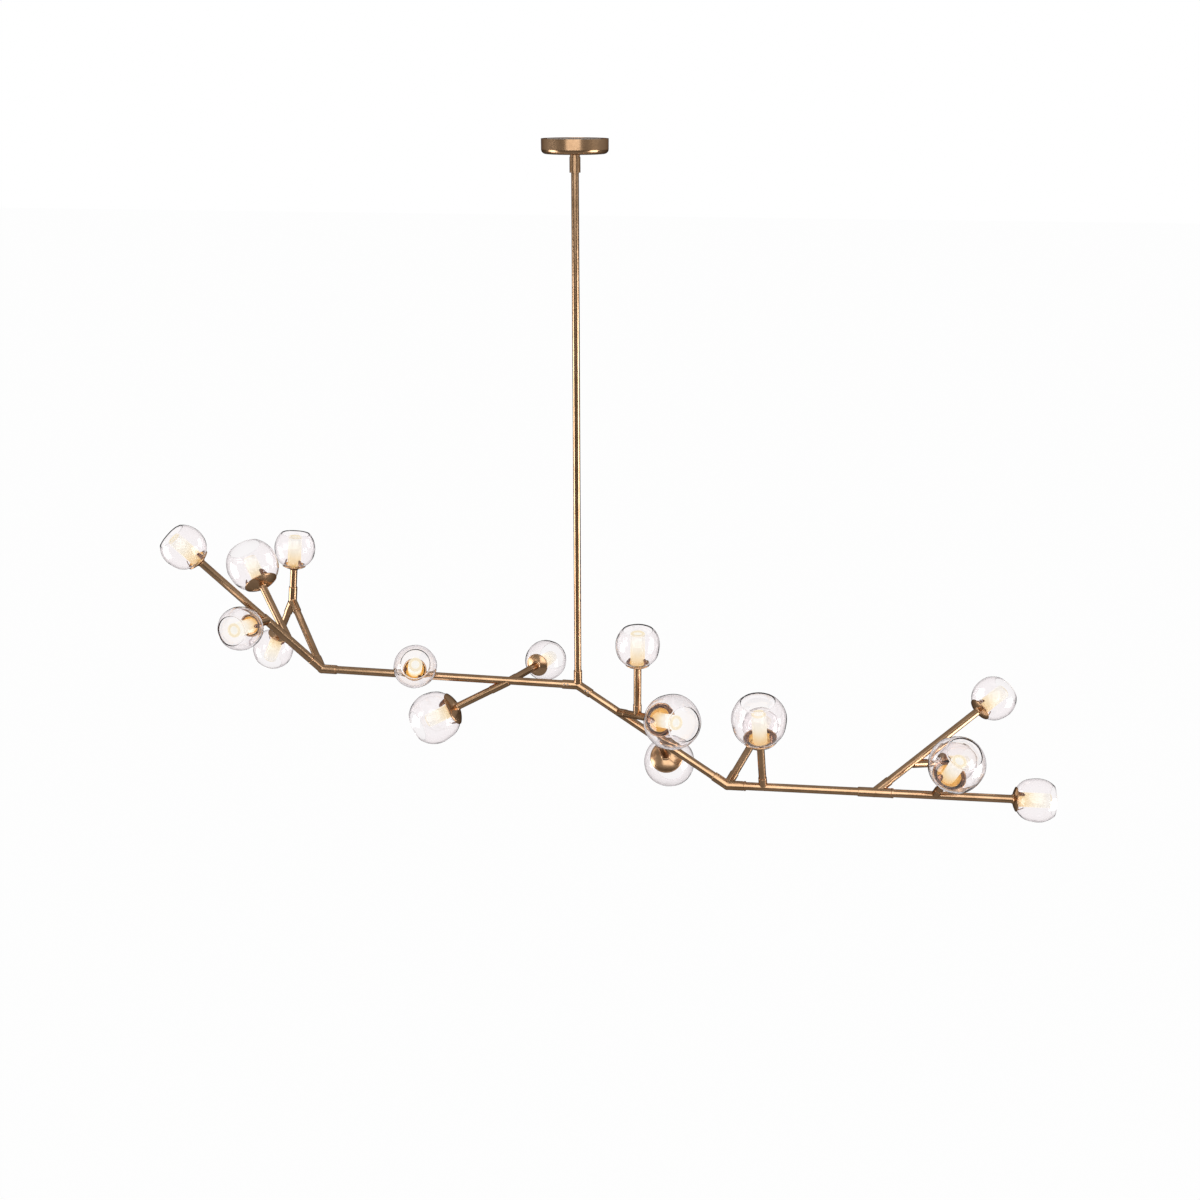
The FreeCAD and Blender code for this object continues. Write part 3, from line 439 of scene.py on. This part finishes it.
def add_turned(work, section, segments, closed, golden=(), brown=()):
    """Adds a skin turned about +Z from a section of (radius, height) points. The section runs
    with the material on its left, so that the faces point outwards. closed joins its two
    ends. The two lists name the points that glow gold and that are dark brown: on a cup,
    painted lamplight in the bowl and painted shade on the seat; on a lamp, its glowing rim."""
    heights = [z for _, z in section]
    low, span = min(heights), max(heights) - min(heights)
    height, lamplit, dark = (work.verts.layers.float.new(name)
                          for name in ("height", "golden", "brown"))
    rings = []
    for number, (radius, z) in enumerate(section):
        if radius < 1e-7:
            ring = [work.verts.new((0, 0, z))] * segments
        else:
            ring = []
            for index in range(segments):
                angle = 2 * math.pi * index / segments
                ring.append(work.verts.new(
                    (radius * math.cos(angle), radius * math.sin(angle), z)))
        for vert in set(ring):
            vert[height] = (z - low) / span
            vert[lamplit] = float(number in golden)
            vert[dark] = float(number in brown)
        rings.append(ring)
    pairs = list(zip(rings, rings[1:]))
    if closed:
        pairs.append((rings[-1], rings[0]))
    for lower, upper in pairs:
        for index in range(segments):
            following = (index + 1) % segments
            corners = [lower[index], lower[following], upper[following], upper[index]]
            unique = list(dict.fromkeys(corners))
            if len(unique) > 2:
                work.faces.new(unique)


def polar(radius, angle, middle=(0.0, 0.0)):
    """Point of the section plane at a distance and an angle in degrees from a middle."""
    angle = math.radians(angle)
    return (middle[0] + radius * math.cos(angle), middle[1] + radius * math.sin(angle))


def arc(radius, start, end, steps, middle=(0.0, 0.0)):
    """Points on an arc in the section plane, from one angle to another in degrees."""
    return [polar(radius, start + (end - start) * step / steps, middle)
            for step in range(steps + 1)]


def globe_section(family):
    """Closed section of a globe: outer wall, fire-rounded mouth, inner wall, seat edge."""
    sizes = FAMILIES[family]
    outer, inner = sizes["globe"], sizes["globe"] - GLASS_WALL
    middle_r = (outer + inner) / 2
    half = GLASS_WALL / 2
    low = -math.degrees(math.acos(sizes["hole"] / middle_r)) + 1.5
    high = math.degrees(math.acos(sizes["mouth"] / middle_r)) - 1.2
    section = arc(outer, low, high, 44)
    section += arc(half * MOUTH_SWELL, high + 12, high + 168, 6, polar(middle_r, high))
    section += arc(inner, high, low, 40)
    section += arc(half, low + 192, low + 348, 4, polar(middle_r, low))
    return section


def globe_mould(name, family):
    work = bmesh.new()
    add_turned(work, globe_section(family), GLOBE_FACETS, True)
    return finished_mesh(name, work)


def cup_section(family):
    """Closed section of a cup, with the numbers of its points where the seat for the glass, in
    painted shade brown, and the bowl round the lamp, in painted lamplight gold, start."""
    sizes = FAMILIES[family]
    seat = sizes["globe"] + GLASS_GAP
    back = seat + CUP_WALL
    face = -(back + CUP_BOSS)
    rim = -math.degrees(math.acos(sizes["rim"] / seat))
    rim_edge = rim - math.degrees(CUP_BEAD / back)
    boss = -math.degrees(math.acos((BOSS_R + CUP_BEAD) / back))
    section = [(CABLE_WAY_R, face), (BOSS_R - EASE, face), (BOSS_R, face + EASE),
               (BOSS_R, face + CUP_BOSS * 0.7), (BOSS_R + EASE, face + CUP_BOSS * 1.05)]
    section += arc(back, boss, rim_edge, 24)
    section += arc(CUP_BEAD, rim - 40, rim + 205, 12, polar(back - CUP_BEAD + 0.0001, rim))
    seat_from = len(section)
    bowl = sizes["bowl"]
    bowl_foot = -math.degrees(math.acos(bowl / seat))
    section += arc(seat, rim_edge, bowl_foot, 10)
    bowl_from = len(section)
    lip = polar(seat, bowl_foot)[1] + BOWL_LIP
    section += arc(BOWL_WALL / 2, 0, 180, 6, (bowl - BOWL_WALL / 2, lip))
    floor = -floor_depth(family)
    for step in range(1, 9):
        part = math.radians(90 * step / 8)
        section.append((HOLDER_R + (bowl - BOWL_WALL - HOLDER_R) * math.cos(part),
                        lip + (floor - lip) * math.sin(part)))
    section.append((CABLE_WAY_R, floor))
    return section, seat_from, bowl_from


def cup_mould(name, family):
    """Dished cup with a rolled rim, a flat boss for the arm, a bowl round the lamp in painted
    lamplight gold, a seat in painted shade brown, and three dark brown sprung clips."""
    section, seat_from, bowl_from = cup_section(family)
    work = bmesh.new()
    # The bowl's points take the painted lamplight gold, the seat's points the painted shade
    # brown.
    add_turned(work, section, CUP_FACETS, True, range(bowl_from, len(section)),
               range(seat_from, bowl_from))
    for turn in CLIP_ANGLES:
        add_clip(work, family, turn)
    return finished_mesh(name, work)


def clip_line(family):
    """Middle line of a clip in the section plane: up through the glass's seat hole, with its
    tip leaning in."""
    sizes = FAMILIES[family]
    upright = sizes["hole"] - GLASS_GAP - CLIP_THICK / 2
    foot = -math.sqrt((sizes["globe"] + GLASS_GAP) ** 2 - upright ** 2) - CUP_WALL * 0.4
    top = -math.sqrt(sizes["globe"] ** 2 - sizes["hole"] ** 2) + sizes["clip_rise"]
    line = []
    for step in range(11):
        part = step / 10
        line.append((upright * (1 - CLIP_LEAN * part ** 2.4), foot + (top - foot) * part))
    return line


def add_clip(work, family, turn):
    """Adds one sprung clip, broad at its foot and round at its tip."""
    line = clip_line(family)
    across = 6
    dark = work.verts.layers.float["brown"]
    sides = {}
    for row, (radius, z) in enumerate(line):
        before, after = line[max(row - 1, 0)], line[min(row + 1, len(line) - 1)]
        along = Vector((after[0] - before[0], after[1] - before[1])).normalized()
        normal = Vector((along.y, -along.x))
        part = row / (len(line) - 1)
        taper = (1 - CLIP_TAPER * part) * math.sqrt(1.02 - part ** 9)
        half = FAMILIES[family]["clip"] / 2 * taper
        for side in (-1, 1):
            rounded = CLIP_THICK / 2 * side
            for column in range(across + 1):
                offset = half * (2 * column / across - 1)
                spot_r = radius + normal.x * rounded
                angle = math.radians(turn) + offset / radius
                vert = work.verts.new((
                    spot_r * math.cos(angle), spot_r * math.sin(angle), z + normal.y * rounded))
                vert[dark] = 1.0
                sides[side, row, column] = vert
    last = len(line) - 1
    for row in range(last):
        for column in range(across):
            for side in (-1, 1):
                corners = [sides[side, row, column], sides[side, row, column + 1],
                           sides[side, row + 1, column + 1], sides[side, row + 1, column]]
                work.faces.new(corners if side > 0 else corners[::-1])
        for column in (0, across):
            corners = [sides[-1, row, column], sides[1, row, column],
                       sides[1, row + 1, column], sides[-1, row + 1, column]]
            work.faces.new(corners if column == 0 else corners[::-1])
    for row in (0, last):
        for column in range(across):
            corners = [sides[-1, row, column], sides[-1, row, column + 1],
                       sides[1, row, column + 1], sides[1, row, column]]
            work.faces.new(corners if row == 0 else corners[::-1])


def lamp_mould(name, family):
    section = lamp_section(family)
    top = max(height for _, height in section)
    rim = [number for number, (_, height) in enumerate(section)
           if height > top - (LAMP_R - LAMP_WELL_R) / 2]
    work = bmesh.new()
    add_turned(work, section, LAMP_FACETS, False, rim)
    return finished_mesh(name, work)


def lamp_section(family):
    """Section of a lamp: a frosted column that reaches down round its holder, with a thick
    rim round a shallow well in its end."""
    foot = -floor_depth(family) + LAMP_FOOT_GAP
    shelf = foot + HOLDER_HEIGHT
    top = shelf + LAMP_HEIGHT
    inner = LAMP_R - LAMP_WALL
    rim = (LAMP_R - LAMP_WELL_R) / 2
    section = [(0, shelf), (inner, shelf), (inner, foot), (LAMP_R - LAMP_FOOT_EASE, foot),
               (LAMP_R, foot + EASE), (LAMP_R, shelf), (LAMP_R, top - rim * 1.5)]
    section += arc(rim, 0, 180, 10, (LAMP_R - rim, top - rim))
    section += arc(LAMP_WELL_R * 0.4, 0, -90, 5,
                   (LAMP_WELL_R * 0.6, top - LAMP_WELL_DEPTH + LAMP_WELL_R * 0.4))
    section.append((0, top - LAMP_WELL_DEPTH))
    return section


# ------------------------------------------------------------------ geometry nodes

def point_value(nodes, name, kind="FLOAT_VECTOR"):
    """Value that the points carry under a name."""
    node = add_node(nodes, "GeometryNodeInputNamedAttribute", data_type=kind, Name=name)
    return node.outputs["Attribute"]


def aimed_moulds(nodes, links, given):
    """Geometry with the mould on every head, aimed along the head's axis, with its +X turned
    to the head's side."""
    mould = add_node(nodes, "GeometryNodeObjectInfo", transform_space="ORIGINAL",
                     As_Instance=True)
    turn = add_node(nodes, "FunctionNodeAlignRotationToVector", axis="Z")
    roll = add_node(nodes, "FunctionNodeAlignRotationToVector", axis="X", pivot_axis="Z")
    instances = nodes.new("GeometryNodeInstanceOnPoints")
    realize = nodes.new("GeometryNodeRealizeInstances")
    links.new(given["Mould"], mould.inputs["Object"])
    links.new(point_value(nodes, "aim"), turn.inputs["Vector"])
    links.new(turn.outputs["Rotation"], roll.inputs["Rotation"])
    links.new(point_value(nodes, "side"), roll.inputs["Vector"])
    links.new(given["Heads"], instances.inputs["Points"])
    links.new(mould.outputs["Geometry"], instances.inputs["Instance"])
    links.new(roll.outputs["Rotation"], instances.inputs["Rotation"])
    links.new(instances.outputs["Instances"], realize.inputs["Geometry"])
    return realize.outputs["Geometry"]


def lump_offset(nodes, links, given):
    """Move of each point towards the middle of its head, by a noise that grows with height."""
    position = nodes.new("GeometryNodeInputPosition")
    noise = add_node(nodes, "ShaderNodeTexNoise", noise_dimensions="4D", Detail=1.0)
    fade = add_node(nodes, "ShaderNodeMapRange", interpolation_type="SMOOTHSTEP",
                    From_Min=LUMPS_FROM, From_Max=LUMPS_FULL)
    negative, sink, faded = [add_node(nodes, "ShaderNodeMath", operation="MULTIPLY")
                             for _ in range(3)]
    negative.inputs[1].default_value = -1.0
    away = add_node(nodes, "ShaderNodeVectorMath", operation="SUBTRACT")
    unit = add_node(nodes, "ShaderNodeVectorMath", operation="NORMALIZE")
    inward = add_node(nodes, "ShaderNodeVectorMath", operation="SCALE")
    links.new(position.outputs["Position"], noise.inputs["Vector"])
    links.new(given["Lump scale"], noise.inputs["Scale"])
    links.new(given["Seed"], noise.inputs["W"])
    links.new(given["Lump height"], negative.inputs[0])
    links.new(noise.outputs["Fac"], sink.inputs[0])
    links.new(negative.outputs["Value"], sink.inputs[1])
    links.new(point_value(nodes, "height", "FLOAT"), fade.inputs["Value"])
    links.new(sink.outputs["Value"], faded.inputs[0])
    links.new(fade.outputs["Result"], faded.inputs[1])
    links.new(position.outputs["Position"], away.inputs[0])
    links.new(point_value(nodes, "centre"), away.inputs[1])
    links.new(away.outputs["Vector"], unit.inputs[0])
    links.new(unit.outputs["Vector"], inward.inputs[0])
    links.new(faded.outputs["Value"], inward.inputs["Scale"])
    return inward.outputs["Vector"]


def head_parts_tree():
    """Tree that sets one mould on every head, aims it along the head's axis, sinks lumps into
    it and gives it its finish."""
    found = bpy.data.node_groups.get("Parts on heads")
    if found:
        return found
    tree = bpy.data.node_groups.new("Parts on heads", "GeometryNodeTree")
    tree.is_modifier = True
    for name, kind in (("Heads", "Geometry"), ("Mould", "Object"), ("Lump height", "Float"),
                       ("Lump scale", "Float"), ("Seed", "Int"), ("Finish", "Material")):
        tree.interface.new_socket(name, in_out="INPUT", socket_type=f"NodeSocket{kind}")
    tree.interface.new_socket("Parts", in_out="OUTPUT", socket_type="NodeSocketGeometry")
    nodes, links = tree.nodes, tree.links
    given = nodes.new("NodeGroupInput").outputs
    result = nodes.new("NodeGroupOutput")
    move = nodes.new("GeometryNodeSetPosition")
    finish = nodes.new("GeometryNodeSetMaterial")
    links.new(aimed_moulds(nodes, links, given), move.inputs["Geometry"])
    links.new(lump_offset(nodes, links, given), move.inputs["Offset"])
    links.new(move.outputs["Geometry"], finish.inputs["Geometry"])
    links.new(given["Finish"], finish.inputs["Material"])
    links.new(finish.outputs["Geometry"], result.inputs["Parts"])
    return tree


def set_inputs(modifier, **values):
    """Sets a modifier's inputs through the identifiers of its tree's sockets."""
    for item in modifier.node_group.interface.items_tree:
        key = item.name.replace(" ", "_")
        if item.in_out == "INPUT" and key in values:
            modifier[item.identifier] = values[key]


def points_mesh(name, heads):
    """Mesh of bare points, one per head, that carry its middle, its axis and where its odd
    clip stands."""
    mesh = bpy.data.meshes.new(name)
    mesh.from_pydata([head.centre for head in heads], [], [])
    sides = [CLIP_SIDES.get(head.number, BEHIND) for head in heads]
    for attribute, values in (("aim", [head.axis for head in heads]), ("side", sides),
                              ("centre", [head.centre for head in heads])):
        layer = mesh.attributes.new(attribute, "FLOAT_VECTOR", "POINT")
        for item, value in zip(layer.data, values):
            item.vector = value
    return mesh


def bake(thing):
    """Plain mesh of an object with its modifiers applied."""
    graph = bpy.context.evaluated_depsgraph_get()
    graph.update()
    return bpy.data.meshes.new_from_object(thing.evaluated_get(graph))


def join_meshes(name, meshes):
    """One mesh from several, with their attributes and materials kept."""
    things = [link_mesh(f"{name}_{index}", mesh) for index, mesh in enumerate(meshes)]
    with bpy.context.temp_override(active_object=things[0], object=things[0],
                                   selected_editable_objects=things):
        if len(things) > 1:
            bpy.ops.object.join()
    things[0].name = name
    return things[0]


def parts_on_heads(name, make_mould, finish, replaced, lumps=0.0):
    """Sets a part on every head of every limb, from one mould for each family, as one plain
    piece for each body."""
    settings = bpy.context.scene.chandelier
    moulds = {}
    for family in FAMILIES:
        label = f"{name}_{family}_mould"
        moulds[family] = link_mesh(label, make_mould(label, family))
    for body, limb in LIMBS.items():
        meshes = []
        for family in FAMILIES:
            heads = [h for h in HEADS if h.body == body and h.family == family]
            if not heads:
                continue
            carrier = link_mesh(f"{name}_{limb}_{family}",
                                points_mesh(f"{name}_{limb}_{family}", heads))
            modifier = carrier.modifiers.new("Parts on heads", "NODES")
            modifier.node_group = head_parts_tree()
            set_inputs(modifier, Mould=moulds[family], Lump_height=lumps,
                       Lump_scale=settings.lump_size, Seed=settings.seed, Finish=finish)
            meshes.append(bake(carrier))
            bpy.data.objects.remove(carrier)
        piece = join_meshes(f"{name}_{limb}", meshes)
        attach(piece, body)
        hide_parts(*replaced(body, limb))
    for mould in moulds.values():
        bpy.data.objects.remove(mould)


# Cast nodes, with the body that each rides on.
CASTINGS = {
    "hub_center": "stem",
    "hub_left": "left_limb",
    "fork_left": "left_limb",
    "fork_sprig": "left_limb",
    "branch_sockets_left": "left_limb",
    "hub_lower": "middle_limb",
    "branch_sockets_middle": "middle_limb",
    "hub_right": "right_limb",
    "branch_sockets_right": "right_limb",
    "branch_socket_end": "end_limb",
}


def soft_casting(node, body, voxel, rounds):
    """Softened copy of a cast node: corners rounded and inner corners filled."""
    work = bmesh.new()
    work.from_mesh(frame["nodes"][node].data)
    bmesh.ops.remove_doubles(work, verts=work.verts, dist=1e-6)
    copy = link_mesh(f"{node}_copy", finished_mesh(f"{node}_copy", work))
    skin = copy.modifiers.new("Skin", "REMESH")
    skin.mode = "VOXEL"
    skin.voxel_size = voxel
    skin.use_smooth_shade = True
    soften = copy.modifiers.new("Soften", "SMOOTH")
    soften.factor = 0.5
    soften.iterations = rounds
    piece = link_mesh(f"cast_{node}", bake(copy))
    bpy.data.objects.remove(copy)
    piece.data.materials.clear()
    piece.data.materials.append(brass_finish())
    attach(piece, body)
    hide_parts(node)


def give_finish(nodes, finish):
    """Puts one finish on CAD nodes."""
    for node in nodes:
        thing = frame["nodes"][node]
        thing.data.materials.clear()
        thing.data.materials.append(finish)


# ------------------------------------------------------------------ operators

class CHANDELIER_OT_globes(bpy.types.Operator):
    """Blows the glass globes onto their cups"""
    bl_idname = "chandelier.globes"
    bl_label = "Glass globes"

    def execute(self, context):
        settings = context.scene.chandelier

        def replaced(body, limb):
            return [f"globe_{head.number}" for head in HEADS if head.body == body]

        parts_on_heads("glass_globes", globe_mould, glass_finish(), replaced,
                       lumps=settings.lump_height)
        return {"FINISHED"}


class CHANDELIER_OT_lamps(bpy.types.Operator):
    """Plugs the glowing lamps into their holders"""
    bl_idname = "chandelier.lamps"
    bl_label = "Lamps"

    def execute(self, context):
        parts_on_heads("glowing_lamps", lamp_mould, lamp_finish(),
                       lambda body, limb: [f"lamps_{limb}"])
        return {"FINISHED"}


class CHANDELIER_OT_cups(bpy.types.Operator):
    """Spins the dished cups with their rolled rims and sprung clips"""
    bl_idname = "chandelier.cups"
    bl_label = "Cups"

    def execute(self, context):
        # Cups with painted lamplight gold in their bowls and painted shade brown on their
        # seats.
        parts_on_heads("dished_cups", cup_mould, brass_finish("gilt_brass", with_painted_light=True),
                       lambda body, limb: [f"cups_{limb}"])
        return {"FINISHED"}


class CHANDELIER_OT_castings(bpy.types.Operator):
    """Softens the hubs, the forks and the sockets as castings"""
    bl_idname = "chandelier.castings"
    bl_label = "Castings"

    def execute(self, context):
        for node, body in CASTINGS.items():
            voxel, rounds = FINE_SKIN if "socket" in node else COARSE_SKIN
            soft_casting(node, body, voxel, rounds)
        return {"FINISHED"}


class CHANDELIER_OT_brass(bpy.types.Operator):
    """Finishes the tubes, screws, lamp holders and ceiling parts"""
    bl_idname = "chandelier.brass"
    bl_label = "Brass, steel and ceramic"

    def execute(self, context):
        slots = {item["node"]: item["material_slot"] for item in frame["record"]["subparts"]}
        finishes = {"brass": brass_finish(), "steel": steel_finish(),
                    "holder": ceramic_finish(), "block": ceramic_finish()}
        for slot, finish in finishes.items():
            give_finish([node for node, used in slots.items() if used == slot], finish)
        return {"FINISHED"}


class CHANDELIER_OT_stage(bpy.types.Operator):
    """Sets the pale floor, the studio light and the camera"""
    bl_idname = "chandelier.stage"
    bl_label = "Stage, light and camera"

    def execute(self, context):
        add_floor()
        add_world()
        add_lights()
        add_camera()
        context.scene.view_settings.view_transform = "Standard"
        return {"FINISHED"}


FLOOR_HEIGHT = -2.6

# Share of plain white in the floor as the camera sees it; the rest takes the shadow.
FLOOR_WHITE = 0.985
ROOM_LIGHT = 0.27

# Panels of light: name, place (m), width (m) and power (W), all aimed at one spot.
PANELS = [
    ("panel_left", (-3.2, -0.8, -1.6), 1.9, 38),
    ("panel_right", (3.2, -0.5, -1.6), 1.9, 46),
    ("panel_front", (0.3, -3.6, 1.4), 4.2, 78),
]
PANELS_AIM = Vector((0.1, 0, -1.05))


def seen_directly(nodes, links):
    """1 for what the camera sees, also through glass, and 0 for the rest."""
    path = nodes.new("ShaderNodeLightPath")
    either = add_node(nodes, "ShaderNodeMath", operation="MAXIMUM")
    links.new(path.outputs["Is Camera Ray"], either.inputs[0])
    links.new(path.outputs["Is Transmission Ray"], either.inputs[1])
    return either.outputs["Value"]


def add_floor():
    """Wide pale floor that keeps a faint shadow and shows as white."""
    work = bmesh.new()
    bmesh.ops.create_grid(work, x_segments=4, y_segments=4, size=30)
    mesh = bpy.data.meshes.new("studio_floor")
    for vert in work.verts:
        vert.co.z = FLOOR_HEIGHT
    work.to_mesh(mesh)
    work.free()
    floor = link_mesh("studio_floor", mesh)
    material, nodes, links = new_material("floor_paint")
    output = nodes.new("ShaderNodeOutputMaterial")
    paint = nodes.new("ShaderNodeBsdfDiffuse")
    paint.inputs["Color"].default_value = (0.32, 0.31, 0.30, 1)
    glow = add_node(nodes, "ShaderNodeEmission", Strength=1.0)
    white = add_node(nodes, "ShaderNodeMath", operation="MULTIPLY")
    white.inputs[1].default_value = FLOOR_WHITE
    mix = nodes.new("ShaderNodeMixShader")
    links.new(seen_directly(nodes, links), white.inputs[0])
    links.new(white.outputs["Value"], mix.inputs["Fac"])
    links.new(paint.outputs["BSDF"], mix.inputs[1])
    links.new(glow.outputs["Emission"], mix.inputs[2])
    links.new(mix.outputs["Shader"], output.inputs["Surface"])
    mesh.materials.append(material)


def add_world():
    """White for what is seen directly, and a softer grey for the light it gives."""
    world = bpy.data.worlds.new("studio")
    world.use_nodes = True
    nodes, links = world.node_tree.nodes, world.node_tree.links
    nodes.clear()
    output = nodes.new("ShaderNodeOutputWorld")
    seen = add_node(nodes, "ShaderNodeBackground", Strength=1.0)
    seen.inputs["Color"].default_value = (1, 1, 1, 1)
    light = add_node(nodes, "ShaderNodeBackground", Strength=ROOM_LIGHT)
    light.inputs["Color"].default_value = (1, 0.99, 0.98, 1)
    mix = nodes.new("ShaderNodeMixShader")
    links.new(seen_directly(nodes, links), mix.inputs["Fac"])
    links.new(light.outputs["Background"], mix.inputs[1])
    links.new(seen.outputs["Background"], mix.inputs[2])
    links.new(mix.outputs["Shader"], output.inputs["Surface"])
    bpy.context.scene.world = world


def add_lights():
    """Large soft panels: one on each side and one high in front."""
    for name, where, width, power in PANELS:
        light = bpy.data.lights.new(name, "AREA")
        light.shape = "SQUARE"
        light.size = width
        light.energy = power
        thing = bpy.data.objects.new(name, light)
        bpy.context.scene.collection.objects.link(thing)
        thing.location = where
        thing.rotation_mode = "QUATERNION"
        thing.rotation_quaternion = (PANELS_AIM - Vector(where)).to_track_quat("-Z", "Y")


CAMERA_PLACE = Vector((0.45074, -2.56159, 0.07938))
CAMERA_LENS = 42.0
CAMERA_DOWN = 20.0
CAMERA_TURN = 9.0


def add_camera():
    """Camera at the photograph's place, looking down on the trunk."""
    camera = bpy.data.cameras.new("camera")
    camera.lens = CAMERA_LENS
    camera.sensor_width = 36
    camera.clip_end = 100
    thing = bpy.data.objects.new("camera", camera)
    bpy.context.scene.collection.objects.link(thing)
    thing.location = CAMERA_PLACE
    thing.rotation_euler = (math.radians(90 - CAMERA_DOWN), 0, math.radians(CAMERA_TURN))
    bpy.context.scene.camera = thing


class CHANDELIER_PT_panel(bpy.types.Panel):
    """Lists the chandelier's pieces and settings"""
    bl_idname = "CHANDELIER_PT_panel"
    bl_label = "Branch Chandelier"
    bl_space_type = "VIEW_3D"
    bl_region_type = "UI"
    bl_category = "Chandelier"

    def draw(self, context):
        for name in ChandelierSettings.__annotations__:
            self.layout.prop(context.scene.chandelier, name)
        for operator in OPERATORS:
            self.layout.operator(operator.bl_idname)


OPERATORS = [CHANDELIER_OT_brass, CHANDELIER_OT_castings, CHANDELIER_OT_cups,
             CHANDELIER_OT_globes, CHANDELIER_OT_lamps, CHANDELIER_OT_stage]
CLASSES = [ChandelierSettings, *OPERATORS, CHANDELIER_PT_panel]


def register():
    for item in CLASSES:
        bpy.utils.register_class(item)
    bpy.types.Scene.chandelier = PointerProperty(type=ChandelierSettings)


def unregister():
    del bpy.types.Scene.chandelier
    for item in reversed(CLASSES):
        bpy.utils.unregister_class(item)


def main():
    register()
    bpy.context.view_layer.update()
    bpy.ops.chandelier.brass()
    bpy.ops.chandelier.castings()
    bpy.ops.chandelier.cups()
    bpy.ops.chandelier.globes()
    bpy.ops.chandelier.lamps()
    bpy.ops.chandelier.stage()


if __name__ == "__main__":
    main()
